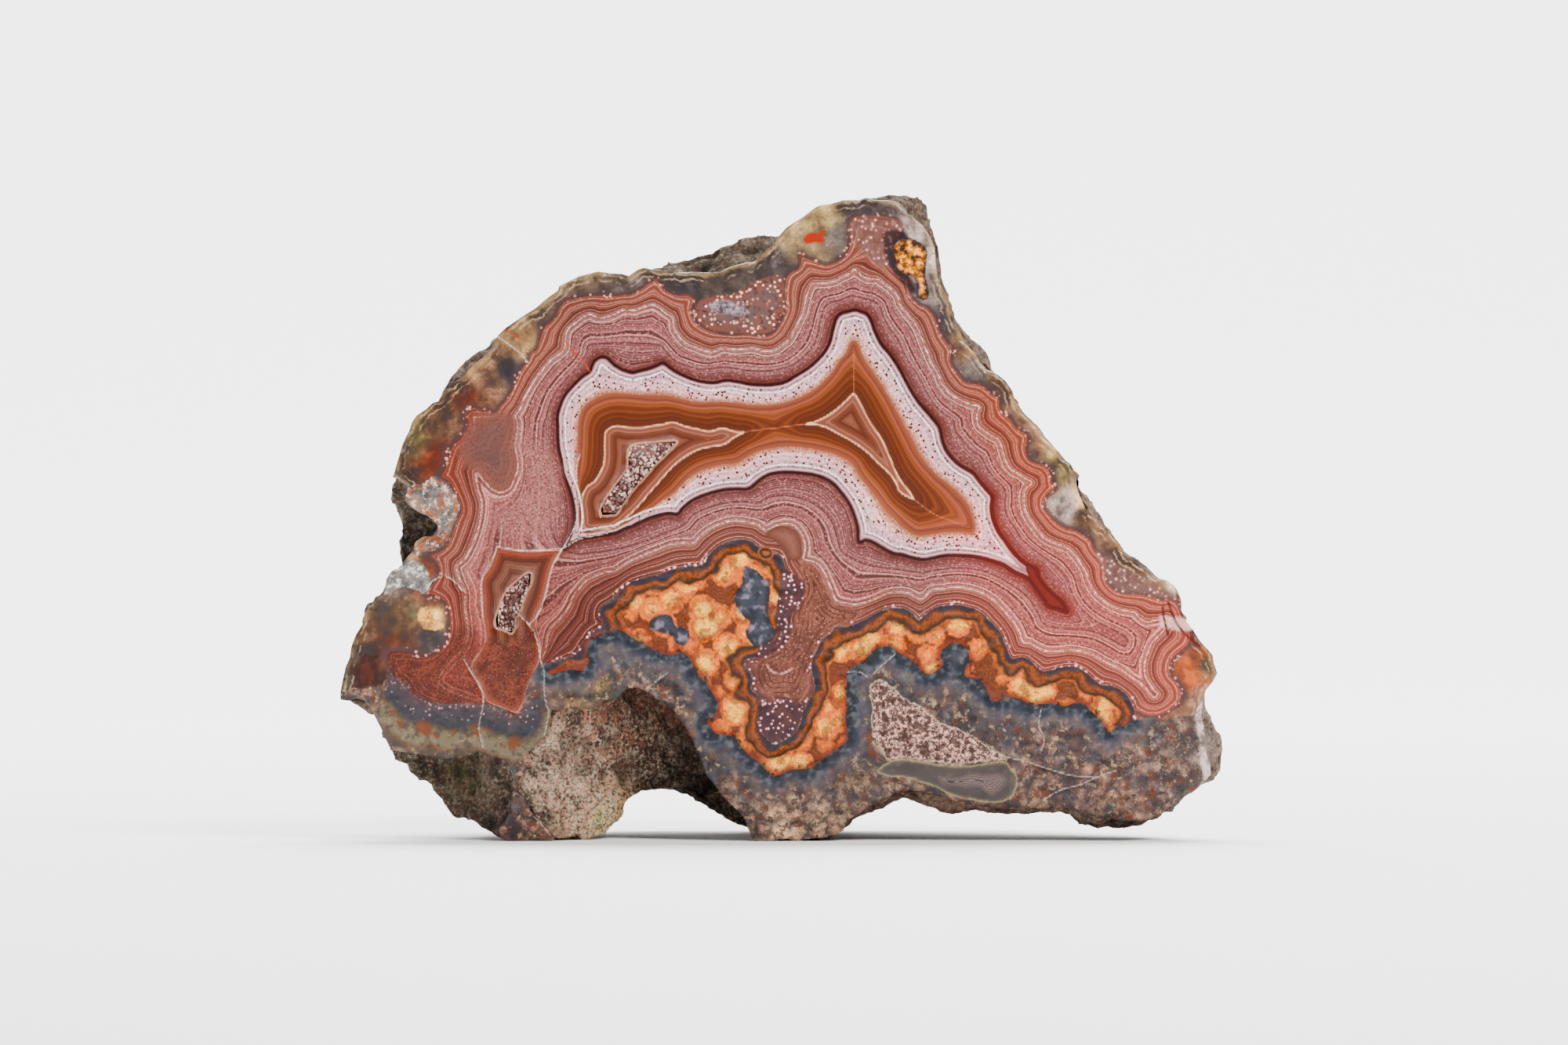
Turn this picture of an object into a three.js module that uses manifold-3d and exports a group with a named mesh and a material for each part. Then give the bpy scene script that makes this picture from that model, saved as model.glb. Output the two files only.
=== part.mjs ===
// A laguna agate: half of a banded nodule with its host rock, cut flat on one side, on its broken base.
// Units are millimetres, +Z is up and the cut face looks along -Y. The origin is under the stone's middle.
import * as THREE from "three";
import { mergeVertices } from "three/addons/utils/BufferGeometryUtils.js";
import Module from "manifold-3d";

const wasm = await Module();
wasm.setup();

// Driving sizes, in mm
const WIDTH = 100;
const DEPTH = 42;
const FRONT_Y = -DEPTH / 2;
const BACK_ROUNDNESS = 2.4;
const BACK_POLE_Z = 27;

// The stone's place in the 2000 x 1333 frame of the photograph, in pixels
const LEFT_PX = 432;
const RIGHT_PX = 1564;
const BASE_PX = 1073;
const MM_PER_PX = WIDTH / (RIGHT_PX - LEFT_PX);
const MIDDLE_PX = (LEFT_PX + RIGHT_PX) / 2;

// The outline seen from the front, clockwise, as [x, y, inset] in pixels of that frame.
// inset is how far in the cut face's edge lies, where rough crust shows beyond it.
const OUTLINE = [
  // left side, with the rock behind the notch
  [432, 893, 2], [434, 882], [437, 867], [441, 850], [446, 839], [448, 825], [454, 809], [462, 797],
  [465, 781], [474, 771], [485, 758], [490, 753], [493, 738], [499, 729], [507, 724], [508, 717],
  [505, 707], [509, 687], [507, 671], [504, 659], [499, 652], [497, 644], [496, 632], [496, 620],
  [501, 608], [508, 585], [513, 567], [522, 549], [525, 539], [531, 530], [542, 523], [553, 513],
  // chipped shoulder, top left
  [558, 510, 3], [559, 498, 8], [564, 488, 12], [568, 476, 17], [579, 470, 16], [588, 457, 17],
  [601, 446, 17], [620, 437, 12], [634, 426, 2], [645, 418], [655, 411], [667, 403], [683, 393],
  [698, 380], [712, 370], [713, 365], [726, 358], [741, 351], [763, 346], [777, 348], [792, 349],
  [802, 352], [813, 344], [822, 341],
  // host rock behind the upper edge
  [831, 342, 2], [841, 340, 5], [850, 333, 14], [864, 329, 19], [878, 326, 22], [892, 321, 28],
  [907, 317, 32], [918, 310, 33], [932, 305, 34], [941, 300, 36], [953, 300, 35], [964, 296, 34],
  [976, 294, 25], [986, 297, 12], [993, 299, 2],
  // upper edge to the summit
  [1002, 291], [1012, 284], [1025, 276], [1036, 267], [1045, 262], [1063, 259], [1076, 255],
  [1095, 253, 2], [1100, 248, 5], [1106, 245, 8], [1114, 248, 7], [1122, 247, 8], [1132, 244, 11],
  [1147, 245, 13], [1160, 247, 20], [1170, 249, 26], [1178, 256, 26], [1182, 263, 22], [1185, 275, 16],
  [1189, 285, 12],
  // right edge, with its slivers of pale crust
  [1195, 299, 9], [1202, 314, 10], [1203, 332, 10], [1204, 352, 8], [1206, 361, 7], [1211, 371, 6],
  [1217, 385, 5], [1219, 399, 5], [1221, 407, 5], [1228, 416, 6], [1234, 426, 8], [1244, 432, 12],
  [1257, 441, 17], [1264, 450, 18], [1266, 458, 14], [1264, 468, 6], [1275, 475, 4], [1285, 484, 3],
  [1294, 497, 3], [1297, 509, 3], [1306, 521, 6], [1318, 531, 7], [1329, 542, 6], [1334, 552, 5],
  [1346, 562, 6], [1355, 572, 7], [1359, 581, 5], [1368, 590, 3], [1374, 603, 2], [1376, 620, 3],
  [1385, 628, 9], [1395, 641, 13], [1408, 657, 11], [1411, 665, 8], [1420, 677, 5], [1431, 690, 4],
  [1438, 701, 5], [1447, 705, 9], [1456, 710, 11], [1465, 718, 10], [1476, 729, 7], [1481, 736, 5],
  [1490, 736, 5], [1500, 742, 5], [1505, 752, 3], [1509, 765, 2], [1509, 778, 2], [1514, 790, 2],
  [1524, 803, 2], [1532, 816, 2], [1542, 827, 2], [1549, 835, 2], [1550, 844, 2], [1555, 859, 2],
  // bevelled corner, lower right
  [1550, 870, 3], [1542, 881, 4], [1542, 895, 8], [1545, 910, 13], [1554, 926, 19], [1562, 937, 24],
  [1563, 951, 25], [1564, 969, 25], [1562, 984, 21], [1555, 997, 14], [1537, 1005, 6], [1514, 1018, 3],
  [1499, 1028, 3], [1483, 1040, 3], [1474, 1045, 3], [1461, 1049, 3], [1444, 1050, 4],
  // underside of the host rock, from right to left
  [1434, 1055, 8], [1424, 1055, 10], [1413, 1053, 10], [1401, 1054, 11], [1390, 1050, 12],
  [1379, 1049, 14], [1370, 1046, 13], [1366, 1041, 9], [1358, 1036, 6], [1348, 1036, 5], [1327, 1038, 6],
  [1314, 1036, 5], [1294, 1038, 6], [1281, 1038, 6], [1268, 1036, 6], [1253, 1038, 9], [1230, 1037, 12],
  [1220, 1036, 13], [1211, 1034, 14], [1201, 1030, 15], [1189, 1028, 15], [1177, 1023, 13],
  [1160, 1020, 12], [1144, 1019, 9], [1136, 1022, 6], [1122, 1026, 3], [1109, 1030, 2], [1101, 1037, 2],
  [1091, 1043, 2], [1081, 1048, 2],
  // middle foot
  [1078, 1053], [1076, 1060], [1066, 1064], [1050, 1069], [1030, 1070], [1015, 1073], [1005, 1070],
  [983, 1072], [968, 1072], [960, 1071],
  // arch between the feet
  [947, 1062], [933, 1052], [919, 1044], [902, 1037], [890, 1031], [879, 1024], [867, 1017], [863, 1012],
  [853, 1011], [845, 1008], [831, 1008], [821, 1007], [811, 1011], [802, 1014], [795, 1019], [795, 1028],
  [798, 1039],
  // left foot
  [791, 1044], [782, 1046], [776, 1050], [770, 1056], [761, 1064], [741, 1067], [727, 1069], [719, 1071],
  [700, 1072], [681, 1074], [661, 1074], [646, 1074], [639, 1070],
  // rough rock, lower left
  [632, 1065], [622, 1062], [619, 1056], [610, 1047], [600, 1042], [587, 1041], [577, 1039], [564, 1031],
  [564, 1026], [561, 1016], [553, 1007], [546, 1001], [542, 997], [531, 993], [522, 989], [522, 985],
  [516, 978], [506, 976], [499, 970], [496, 962], [496, 956, 2], [489, 944, 3], [484, 932, 3],
  [469, 915, 9], [455, 905, 15], [444, 903, 16], [436, 900, 10],
];

// Where the cut face is broken away and rough rock lies behind it, as outlines in the same pixels
const HOLLOW = [
  [703, 906], [711, 909], [721, 903], [739, 906], [762, 905], [768, 899], [778, 895], [790, 889], [800, 878],
  [812, 877], [823, 881], [833, 889], [849, 899], [860, 905], [866, 915], [876, 930], [884, 946], [892, 966],
  [898, 985], [911, 1001], [925, 1020], [939, 1032], [949, 1044], [955, 1058], [960, 1073], [955, 1110],
  [712, 1110], [706, 1066], [687, 1044], [675, 1034], [672, 1022], [660, 1008], [662, 995], [673, 980],
  [680, 968], [673, 960], [683, 950], [696, 940], [701, 925],
];
const LOWER_LEFT = [
  [480, 953], [496, 957], [508, 958], [518, 960], [534, 962], [553, 966], [567, 968], [581, 968], [596, 965],
  [610, 958], [614, 962], [632, 966], [642, 969], [649, 979], [654, 991], [655, 1001], [653, 1009],
  [651, 1024], [649, 1036], [642, 1048], [636, 1052], [637, 1064], [640, 1073], [630, 1110], [470, 1110],
];
const NOTCH = [
  [480, 612], [505, 609], [510, 613], [518, 620], [517, 640], [525, 647], [535, 654], [545, 658], [553, 664],
  [559, 672], [555, 679], [550, 684], [540, 684], [530, 691], [527, 702], [519, 711], [513, 719],
  [507, 726], [480, 726],
];

// The two crystal-lined pockets in the cut face
const UPPER_POCKET = [
  [863, 563], [843, 564], [812, 567], [802, 573], [801, 597], [794, 607], [783, 622], [772, 638], [766, 650],
  [768, 657], [785, 656], [793, 645], [805, 627], [820, 611], [836, 592], [850, 579],
];
const LOWER_POCKET = [
  [677, 731], [668, 734], [658, 743], [645, 756], [638, 773], [632, 789], [633, 800], [645, 804], [652, 808],
  [657, 801], [656, 791], [663, 779], [668, 763], [676, 745],
];
const POCKET_DEPTH = 2.4;

// The crust in a pocket keeps a gap to its walls, and its crystals stand on a bed
const CRUST_GAP = 0.3;
const CRUST_BED = 0.5;
const CRYSTAL_RADIUS = [0.28, 0.5];
const CRYSTAL_HEIGHT = [0.5, 1.2];
const CRYSTAL_ROOT = 0.35;
const CRYSTAL_TAPER = 0.72;
const CRYSTAL_PITCH = 0.66;
const CRYSTAL_SHIFT = 0.4;
const CRYSTAL_TILT = 0.24;

// How the floor lies where the face is broken away. Its depth in mm runs from the first to the second
// of depths across or up the given pixels. rough is how high its roughness is, which is read at a scale
// and a layer of its own.
const BROKEN_AWAY = [
  {
    outline: HOLLOW,
    deepest: 16,
    cells: 16,
    depths: [0.5, 12],
    across: [668, 900],
    rough: 0.5,
    scale: 2,
    layer: 3,
  },
  {
    outline: LOWER_LEFT,
    deepest: 9,
    cells: 14,
    depths: [4.6, 1.6],
    across: [590, 625],
    rough: 0.9,
    scale: 2.2,
    layer: 7,
  },
  {
    outline: NOTCH,
    deepest: 9,
    cells: 10,
    depths: [5.2, 1.8],
    up: [645, 628],
    rough: 0.8,
    scale: 2.4,
    layer: 11,
  },
];
const CUT_AHEAD = 3;

// Rings of the stone, by their depth behind the cut face. The front rings have every point of
// the outline, and the first of them follow the cut face's edge. The back rings have every second point.
const FACE_RING_DEPTHS = [0, 0.9];
const CRUST_RING_DEPTH = 2.6;
const BACK_RING_DEPTHS = [5.5, 8.5, 12, 16, 20, 24, 28, 31.5, 34.5, 37, 39, 40.6];

// How many neighbours on each side the outline is smoothed over, for the face's edge and for the back
const EDGE_SMOOTHING = 2;
const BACK_SMOOTHING = [12, 8];

// Depths behind the cut face between which the back changes. The middle foot keeps its shape further back.
const SOFTENS = [3, 16];
const BASE_SOFTENS = [12, 30];
const FOOT_SOFTENS = [32, 40];
const BASE_NARROWS = [20, 38];
const RISES_TO_POLE = [10, DEPTH];
const FOOT_RISES_TO_POLE = [31, DEPTH];
const SOLE_DROPS = [1, 4];

// Up to the first height the stone is all base, and from the second one on it is none
const BASE_HEIGHTS = [2.5, 9];

// Where the skin's swellings start and end, how much less they show at the base, and how far they push back
const SWELLS = [2, 9];
const BACK_SWELLS = [12, 28];
const BACK_CALMS = [34, 40];
const BASE_CALM = 0.8;
const BACK_SHARE = 0.8;
const MEAN_RADIUS = 32;

// Knobs and dents of the weathered skin
const KNOB_COUNT = 60;
const KNOB_DEPTH = [6, 40];
const KNOB_RADIUS = [5, 10];
const KNOB_HEIGHT = [-1.5, 2];
const KNOB_LIMIT = 2.2;
const KNOB_SEED = 5;

// Broken faces of the host rock: which way each one looks, and how far it lies inside the whole nodule
const BREAKS = [
  { away: [0.42, 0.72, -0.55], depth: 6 },
  { away: [-0.6, 0.66, -0.45], depth: 5 },
  { away: [-0.45, 0.5, 0.74], depth: 3 },
  { away: [0.72, 0.62, 0.3], depth: 2.6 },
  { away: [0.1, 0.9, 0.42], depth: 1.2 },
];

// The middle foot runs back under the stone, and its sole is flat
const FOOT_X = 2;
const FOOT_WIDTH = 12;
const SOLE_DROP = 0.7;

const { lerp, smoothstep } = THREE.MathUtils;
const rising = (value, [from, to]) => smoothstep(value, from, to);
const falling = (value, range) => 1 - rising(value, range);
const rangeBetween = (a, b, share) => [lerp(a[0], b[0], share), lerp(a[1], b[1], share)];
const toX = (px) => (px - MIDDLE_PX) * MM_PER_PX;
const toZ = (px) => (BASE_PX - px) * MM_PER_PX;
const toPoint = ([px, py]) => new THREE.Vector2(toX(px), toZ(py));

// Repeatable numbers from 0 to 1
function randomFrom(seed) {
  let state = seed;
  return () => {
    state = (state * 1664525 + 1013904223) % 4294967296;
    return state / 4294967296;
  };
}

// Roughness about 8 to 20 mm across, from -1 to 1
function roughness(x, y, z) {
  return (
    0.45 * Math.sin(0.31 * x + 0.9 * Math.sin(0.23 * z) + 1.3) * Math.cos(0.37 * y + 0.26 * z) +
    0.3 * Math.sin(0.62 * z + 0.41 * x - 0.5 * y + 2.1) +
    0.25 * Math.sin(0.73 * x - 0.61 * z + 0.54 * y + 0.4 * Math.sin(0.5 * x))
  );
}

function solidFrom(geometry) {
  const bare = new THREE.BufferGeometry();
  bare.setAttribute("position", geometry.getAttribute("position"));
  bare.setIndex(geometry.index);
  const merged = mergeVertices(bare, 1e-4);
  return new wasm.Manifold(
    new wasm.Mesh({
      numProp: 3,
      vertProperties: merged.attributes.position.array,
      triVerts: new Uint32Array(merged.index.array),
    }),
  );
}

function geometryFrom(solid) {
  const mesh = solid.getMesh();
  const count = mesh.numVert * mesh.numProp;
  const geometry = new THREE.BufferGeometry();
  geometry.setAttribute("position", new THREE.BufferAttribute(mesh.vertProperties.slice(0, count), 3));
  geometry.setIndex(new THREE.BufferAttribute(mesh.triVerts, 1));
  geometry.computeVertexNormals();
  return geometry;
}

// Each point moved to the mean of its neighbours within reach, round the closed outline
function smoothed(points, reach) {
  return points.map((_, i) => {
    const mean = new THREE.Vector2();
    for (let k = -reach; k <= reach; k++) mean.add(points[(i + k + points.length) % points.length]);
    return mean.divideScalar(2 * reach + 1);
  });
}

// The outline counter-clockwise as seen from the front, and the cut face's edge inside it
function outlines() {
  const rows = [...OUTLINE].reverse();
  const edge = rows.map(toPoint);
  const soft = smoothed(edge, EDGE_SMOOTHING);
  const face = rows.map(([, , inset = 0], i) => {
    const before = soft[(i + soft.length - 1) % soft.length];
    const after = soft[(i + 1) % soft.length];
    const along = after.clone().sub(before).normalize();
    return edge[i].clone().add(new THREE.Vector2(-along.y, along.x).multiplyScalar(inset * MM_PER_PX));
  });
  return { edge, face };
}

// How far out the back reaches at a depth, as a share of the outline
function reachAt(depth) {
  return Math.pow(1 - Math.pow(depth / DEPTH, BACK_ROUNDNESS), 1 / BACK_ROUNDNESS);
}

// One point of the back: the outline drawn in towards the pole, its base kept low enough to stand on
function backPoint(sharp, soft, depth, swelling) {
  const low = falling(sharp.y, BASE_HEIGHTS);
  const foot = falling(Math.abs(sharp.x - FOOT_X), [FOOT_WIDTH / 2, FOOT_WIDTH]);
  const keptSharp = low * falling(depth, rangeBetween(BASE_SOFTENS, FOOT_SOFTENS, foot));
  const flat = sharp.clone().lerp(soft, rising(depth, SOFTENS) * (1 - keptSharp));
  flat.y += low * Math.max(0, sharp.y - flat.y);
  const poleZ = BACK_POLE_Z * rising(depth, rangeBetween(RISES_TO_POLE, FOOT_RISES_TO_POLE, foot));
  const swollen = swelling * rising(depth, SWELLS) * (1 - BASE_CALM * low);
  const reach = Math.min(1, reachAt(depth) + swollen / MEAN_RADIUS);
  const acrossReach = lerp(reach, 1, low * falling(depth, BASE_NARROWS));
  const back = BACK_SHARE * swollen * rising(depth, BACK_SWELLS) * falling(depth, BACK_CALMS);
  return new THREE.Vector3(
    flat.x * acrossReach,
    FRONT_Y + depth + back,
    poleZ + (flat.y - poleZ) * reach - SOLE_DROP * low * rising(depth, SOLE_DROPS),
  );
}

// Swellings and dents round seeded places on the back, with finer roughness between them
function skin(soft) {
  const random = randomFrom(KNOB_SEED);
  const between = ([least, most]) => least + (most - least) * random();
  const knobs = [];
  for (let k = 0; k < KNOB_COUNT; k++) {
    const start = soft[Math.floor(random() * soft.length)];
    const depth = between(KNOB_DEPTH);
    const centre = new THREE.Vector3(start.x * reachAt(depth), depth, start.y * reachAt(depth));
    knobs.push({ centre, radius: between(KNOB_RADIUS), height: between(KNOB_HEIGHT) });
  }
  return (x, depth, z) => {
    const place = new THREE.Vector3(x, depth, z);
    const swelling = knobs.reduce(
      (sum, knob) => sum + knob.height * Math.exp(-((place.distanceTo(knob.centre) / knob.radius) ** 2)),
      0,
    );
    return KNOB_LIMIT * Math.tanh((swelling + roughness(x, depth, z)) / KNOB_LIMIT);
  };
}

// Triangles between two rings of a closed skin, the far one with as many points or half as many
function band(near, nearCount, far, farCount) {
  const faces = [];
  for (let j = 0; j < farCount; j++) {
    const next = (j + 1) % farCount;
    const from = Math.round((j * nearCount) / farCount);
    const to = Math.round(((j + 1) * nearCount) / farCount);
    const middle = Math.floor((from + to) / 2);
    for (let i = from; i < to; i++) {
      faces.push(near + i, far + (i < middle ? j : next), near + ((i + 1) % nearCount));
      if (i === middle) faces.push(near + i, far + j, far + next);
    }
  }
  return faces;
}

// The whole half nodule before anything is broken out of it
function roughHalf() {
  const { edge, face } = outlines();
  const soft = BACK_SMOOTHING.reduce(smoothed, edge);
  const swellingAt = skin(soft);
  const rings = FACE_RING_DEPTHS.map((depth) =>
    face.map((p) => new THREE.Vector3(p.x, FRONT_Y + depth, p.y)),
  );
  rings.push(edge.map((p, i) => backPoint(p, soft[i], CRUST_RING_DEPTH, 0)));
  for (const depth of BACK_RING_DEPTHS) {
    const ring = [];
    for (let i = 0; i + 1 < edge.length; i += 2) {
      const shrunk = soft[i].clone().multiplyScalar(reachAt(depth));
      ring.push(backPoint(edge[i], soft[i], depth, swellingAt(shrunk.x, depth, shrunk.y)));
    }
    rings.push(ring);
  }
  const faces = THREE.ShapeUtils.triangulateShape(face, []).flat();
  let near = 0;
  for (let ring = 0; ring + 1 < rings.length; ring++) {
    const far = near + rings[ring].length;
    faces.push(...band(near, rings[ring].length, far, rings[ring + 1].length));
    near = far;
  }
  const last = rings.at(-1).length;
  const pole = near + last;
  for (let i = 0; i < last; i++) faces.push(near + i, pole, near + ((i + 1) % last));
  const geometry = new THREE.BufferGeometry();
  geometry.setFromPoints([...rings.flat(), new THREE.Vector3(0, FRONT_Y + DEPTH, BACK_POLE_Z)]);
  geometry.setIndex(faces);
  return solidFrom(geometry);
}

// The depth of a broken floor at one point of the face
function floorDepth({ depths, across, up, rough, scale, layer }, x, z) {
  const share = across ? rising(x, across.map(toX)) : rising(z, up.map(toZ));
  return lerp(depths[0], depths[1], share) + rough * roughness(scale * x, layer, scale * z);
}

// What is broken away inside an outline, from in front of the cut face down to an uneven floor
function brokenAway(piece) {
  const points = piece.outline.map(toPoint);
  const { min, max } = boundsOf(points);
  const width = max.x - min.x + 1;
  const height = max.y - min.y + 1;
  const block = new THREE.BoxGeometry(width, 2, height, piece.cells, 1, piece.cells);
  block.translate((min.x + max.x) / 2, 0, (min.y + max.y) / 2);
  const place = block.getAttribute("position");
  for (let i = 0; i < place.count; i++) {
    const behind = place.getY(i) > 0;
    const depth = behind ? floorDepth(piece, place.getX(i), place.getZ(i)) : -CUT_AHEAD;
    place.setY(i, FRONT_Y + depth);
  }
  return prism(points, -CUT_AHEAD, piece.deepest).intersect(solidFrom(block));
}

// A quartz point: six tapering sides and a six-sided tip, its axis tilted from the way out of the pocket
function crystal(at, radius, height, tiltX, tiltZ, turn) {
  const profile = [
    new THREE.Vector2(0, -CRYSTAL_ROOT),
    new THREE.Vector2(radius, -CRYSTAL_ROOT),
    new THREE.Vector2(radius * CRYSTAL_TAPER, height / 2),
    new THREE.Vector2(0, height),
  ];
  const shape = new THREE.LatheGeometry(profile, 6);
  shape.rotateY(turn);
  shape.rotateX(Math.PI + tiltX);
  shape.rotateZ(tiltZ);
  shape.translate(at.x, FRONT_Y + POCKET_DEPTH - CRUST_GAP - CRUST_BED, at.y);
  return solidFrom(shape);
}

// The upright prism of an outline between two depths
function prism(points, nearDepth, farDepth) {
  const shape = new THREE.ExtrudeGeometry(new THREE.Shape(points), {
    depth: farDepth - nearDepth,
    bevelEnabled: false,
  });
  shape.rotateX(Math.PI / 2);
  shape.translate(0, FRONT_Y + farDepth, 0);
  return solidFrom(shape);
}

function boundsOf(points) {
  const box = new THREE.Box2();
  return box.setFromPoints(points);
}

// The crystals of one pocket grown together on their common bed
function crust(outlinePx, seed) {
  const inner = drawnIn(outlinePx.map(toPoint), CRUST_GAP);
  const floor = POCKET_DEPTH - CRUST_GAP;
  const random = randomFrom(seed);
  const between = ([least, most]) => least + (most - least) * random();
  const tilt = () => between([-CRYSTAL_TILT, CRYSTAL_TILT]);
  const shift = () => CRYSTAL_SHIFT * (random() - 0.5);
  const { min, max } = boundsOf(inner);
  let solid = prism(inner, floor - CRUST_BED, floor);
  for (let x = min.x; x <= max.x; x += CRYSTAL_PITCH) {
    for (let z = min.y; z <= max.y; z += CRYSTAL_PITCH) {
      const at = new THREE.Vector2(x + shift(), z + shift());
      const radius = between(CRYSTAL_RADIUS);
      const height = between(CRYSTAL_HEIGHT);
      const point = crystal(at, radius, height, tilt(), tilt(), random() * Math.PI);
      if (inside(at, inner)) solid = solid.add(point);
    }
  }
  return solid.intersect(prism(inner, CRUST_GAP, floor));
}

// A closed outline moved in by a distance
function drawnIn(points, distance) {
  const side = THREE.ShapeUtils.isClockWise(points) ? -1 : 1;
  return points.map((p, i) => {
    const before = points[(i + points.length - 1) % points.length];
    const after = points[(i + 1) % points.length];
    const along = after.clone().sub(before).normalize();
    return p.clone().add(new THREE.Vector2(-along.y, along.x).multiplyScalar(side * distance));
  });
}

function inside(point, polygon) {
  let within = false;
  polygon.forEach((a, i) => {
    const b = polygon[(i + 1) % polygon.length];
    const crosses = a.y > point.y !== b.y > point.y;
    if (crosses && point.x < ((b.x - a.x) * (point.y - a.y)) / (b.y - a.y) + a.x) within = !within;
  });
  return within;
}

function namedMesh(name, solid, color, roughness) {
  const material = new THREE.MeshStandardMaterial({ color, roughness, metalness: 0 });
  const mesh = new THREE.Mesh(geometryFrom(solid), material);
  mesh.name = name;
  return mesh;
}

// A solid without what lies beyond a plane, which is set back from its furthest point
function brokenOff(solid, { away, depth }) {
  const normal = new THREE.Vector3(...away).normalize();
  const { vertProperties } = solid.getMesh();
  const corner = new THREE.Vector3();
  let furthest = -Infinity;
  for (let i = 0; i < vertProperties.length; i += 3) {
    furthest = Math.max(furthest, corner.fromArray(vertProperties, i).dot(normal));
  }
  return solid.trimByPlane(normal.negate().toArray(), depth - furthest);
}

function agate() {
  const broken = BREAKS.reduce(brokenOff, roughHalf());
  const faced = BROKEN_AWAY.map(brokenAway).reduce((solid, piece) => solid.subtract(piece), broken);
  return [UPPER_POCKET, LOWER_POCKET]
    .map((outline) => prism(outline.map(toPoint), -CUT_AHEAD, POCKET_DEPTH))
    .reduce((solid, pocket) => solid.subtract(pocket), faced)
    .trimByPlane([0, 0, 1], 0);
}

const stone = new THREE.Group();
stone.add(namedMesh("agate", agate(), 0x9c5a4a, 0.3));
stone.add(namedMesh("upper_quartz_druse", crust(UPPER_POCKET, 11), 0xd9cfc9, 0.15));
stone.add(namedMesh("lower_quartz_druse", crust(LOWER_POCKET, 23), 0xd9cfc9, 0.15));

export default stone;
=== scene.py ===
"""The looks of a laguna agate: its banded cut face, its rough host rock and the crystals in its pockets."""
import math

import bmesh
import bpy
import numpy as np
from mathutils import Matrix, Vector, geometry, kdtree, noise


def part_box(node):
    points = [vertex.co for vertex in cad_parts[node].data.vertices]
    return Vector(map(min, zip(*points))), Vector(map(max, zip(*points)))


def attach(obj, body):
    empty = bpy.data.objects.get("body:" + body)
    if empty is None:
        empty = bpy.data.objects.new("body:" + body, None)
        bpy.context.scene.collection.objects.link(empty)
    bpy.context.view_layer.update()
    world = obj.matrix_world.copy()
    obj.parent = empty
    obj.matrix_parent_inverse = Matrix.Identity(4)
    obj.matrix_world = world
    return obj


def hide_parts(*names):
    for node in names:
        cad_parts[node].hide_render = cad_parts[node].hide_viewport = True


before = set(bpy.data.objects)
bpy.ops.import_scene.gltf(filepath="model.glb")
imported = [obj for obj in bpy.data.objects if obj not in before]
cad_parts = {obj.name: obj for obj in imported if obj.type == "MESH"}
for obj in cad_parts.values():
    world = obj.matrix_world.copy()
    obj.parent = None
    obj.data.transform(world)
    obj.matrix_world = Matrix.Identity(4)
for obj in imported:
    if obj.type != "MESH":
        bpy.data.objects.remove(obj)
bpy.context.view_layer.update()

# The cut face in the 2000 x 1333 frame of the photograph, whose pixels measure the pattern below
IMAGE_WIDTH = 2000
IMAGE_HEIGHT = 1333
LEFT_PX = 432
RIGHT_PX = 1564
BASE_PX = 1073
WIDTH = 0.1
M_PER_PX = WIDTH / (RIGHT_PX - LEFT_PX)
MIDDLE_PX = (LEFT_PX + RIGHT_PX) / 2
FACE_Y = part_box("agate")[0].y

# Sizes of the modelled pieces, in metres and in pixels where they follow the pattern
MM = 0.001
SLAB_THICKNESS = 2.2 * MM
BODY_SETBACK = 1.2 * MM
VOXEL = 0.46 * MM
LATTICE_PX = 2.85
GRIT_SCALE = 0.05
SPLINE_STEPS = 5
OUTLINE_STEPS = 3
CAMERA_DISTANCE = 1.0
SEED = 7

# The rock behind the slab, in pixels: the steps of the border it follows, the inset of the part cut away and
# the width of its flat lip; then the level that its ridges rise from
BORDER_STEP_PX = 4.0
HIDDEN_PX = 10
LIP_PX = 6
RIDGE_LEVEL = 1.4

# How far behind the polished plane the rind's knobs, the rock's relief, the hollow's lumps and the rind's
# colours come in, and how deep the rock that shows from the front can lie
RIND_START = 6 * MM
RIND_REACH = 8 * MM
RELIEF_START = 1.5 * MM
RELIEF_REACH = 3 * MM
LUMP_REACH = 2 * MM
SKIN_REACH = 9 * MM
OPEN_DEPTH = 18 * MM

# The bed of a crystal pocket: rings of this share of its outline, and how far each lies behind the face
POCKET_RINGS = ((1.03, 0.5 * MM), (0.9, 1.5 * MM), (0.5, 1.95 * MM), (0.0, 2.0 * MM))

# The middle and the reach of the pale, sugary rock in the hollow, in pixels
SUGAR_PX = (750, 980)
SUGAR_REACH = 65

# Where the red line begins to turn redder to the right, and over how many pixels
EAST_PX = 1190
EAST_REACH = 80

# How deep in a chamber its colours come to their end, in pixels
CHAMBER_REACH = 40

# How a surface colour is found from the colour it should look like in the picture
FILM_GAIN = 0.138
FILM_POWER = 0.656
FILM_SLOPE = 3.13
FILM_RISE = 9.63
FILM_RICHNESS = 1.11
FILM_TOP = 0.95

# Mineral colours, as they look on a screen
CREAM = "#e2cda4"
PALE_QUARTZ = "#cfc6c2"
GREY = "#8f8480"
SMOKE = "#5f5658"
SLATE = "#4a4650"
OLIVE = "#8a7a54"
BROWN = "#7c5c44"
DARK_BROWN = "#553a2c"
RUST = "#8e4328"
ORANGE = "#b8703c"
TAN = "#ad8f74"

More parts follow.
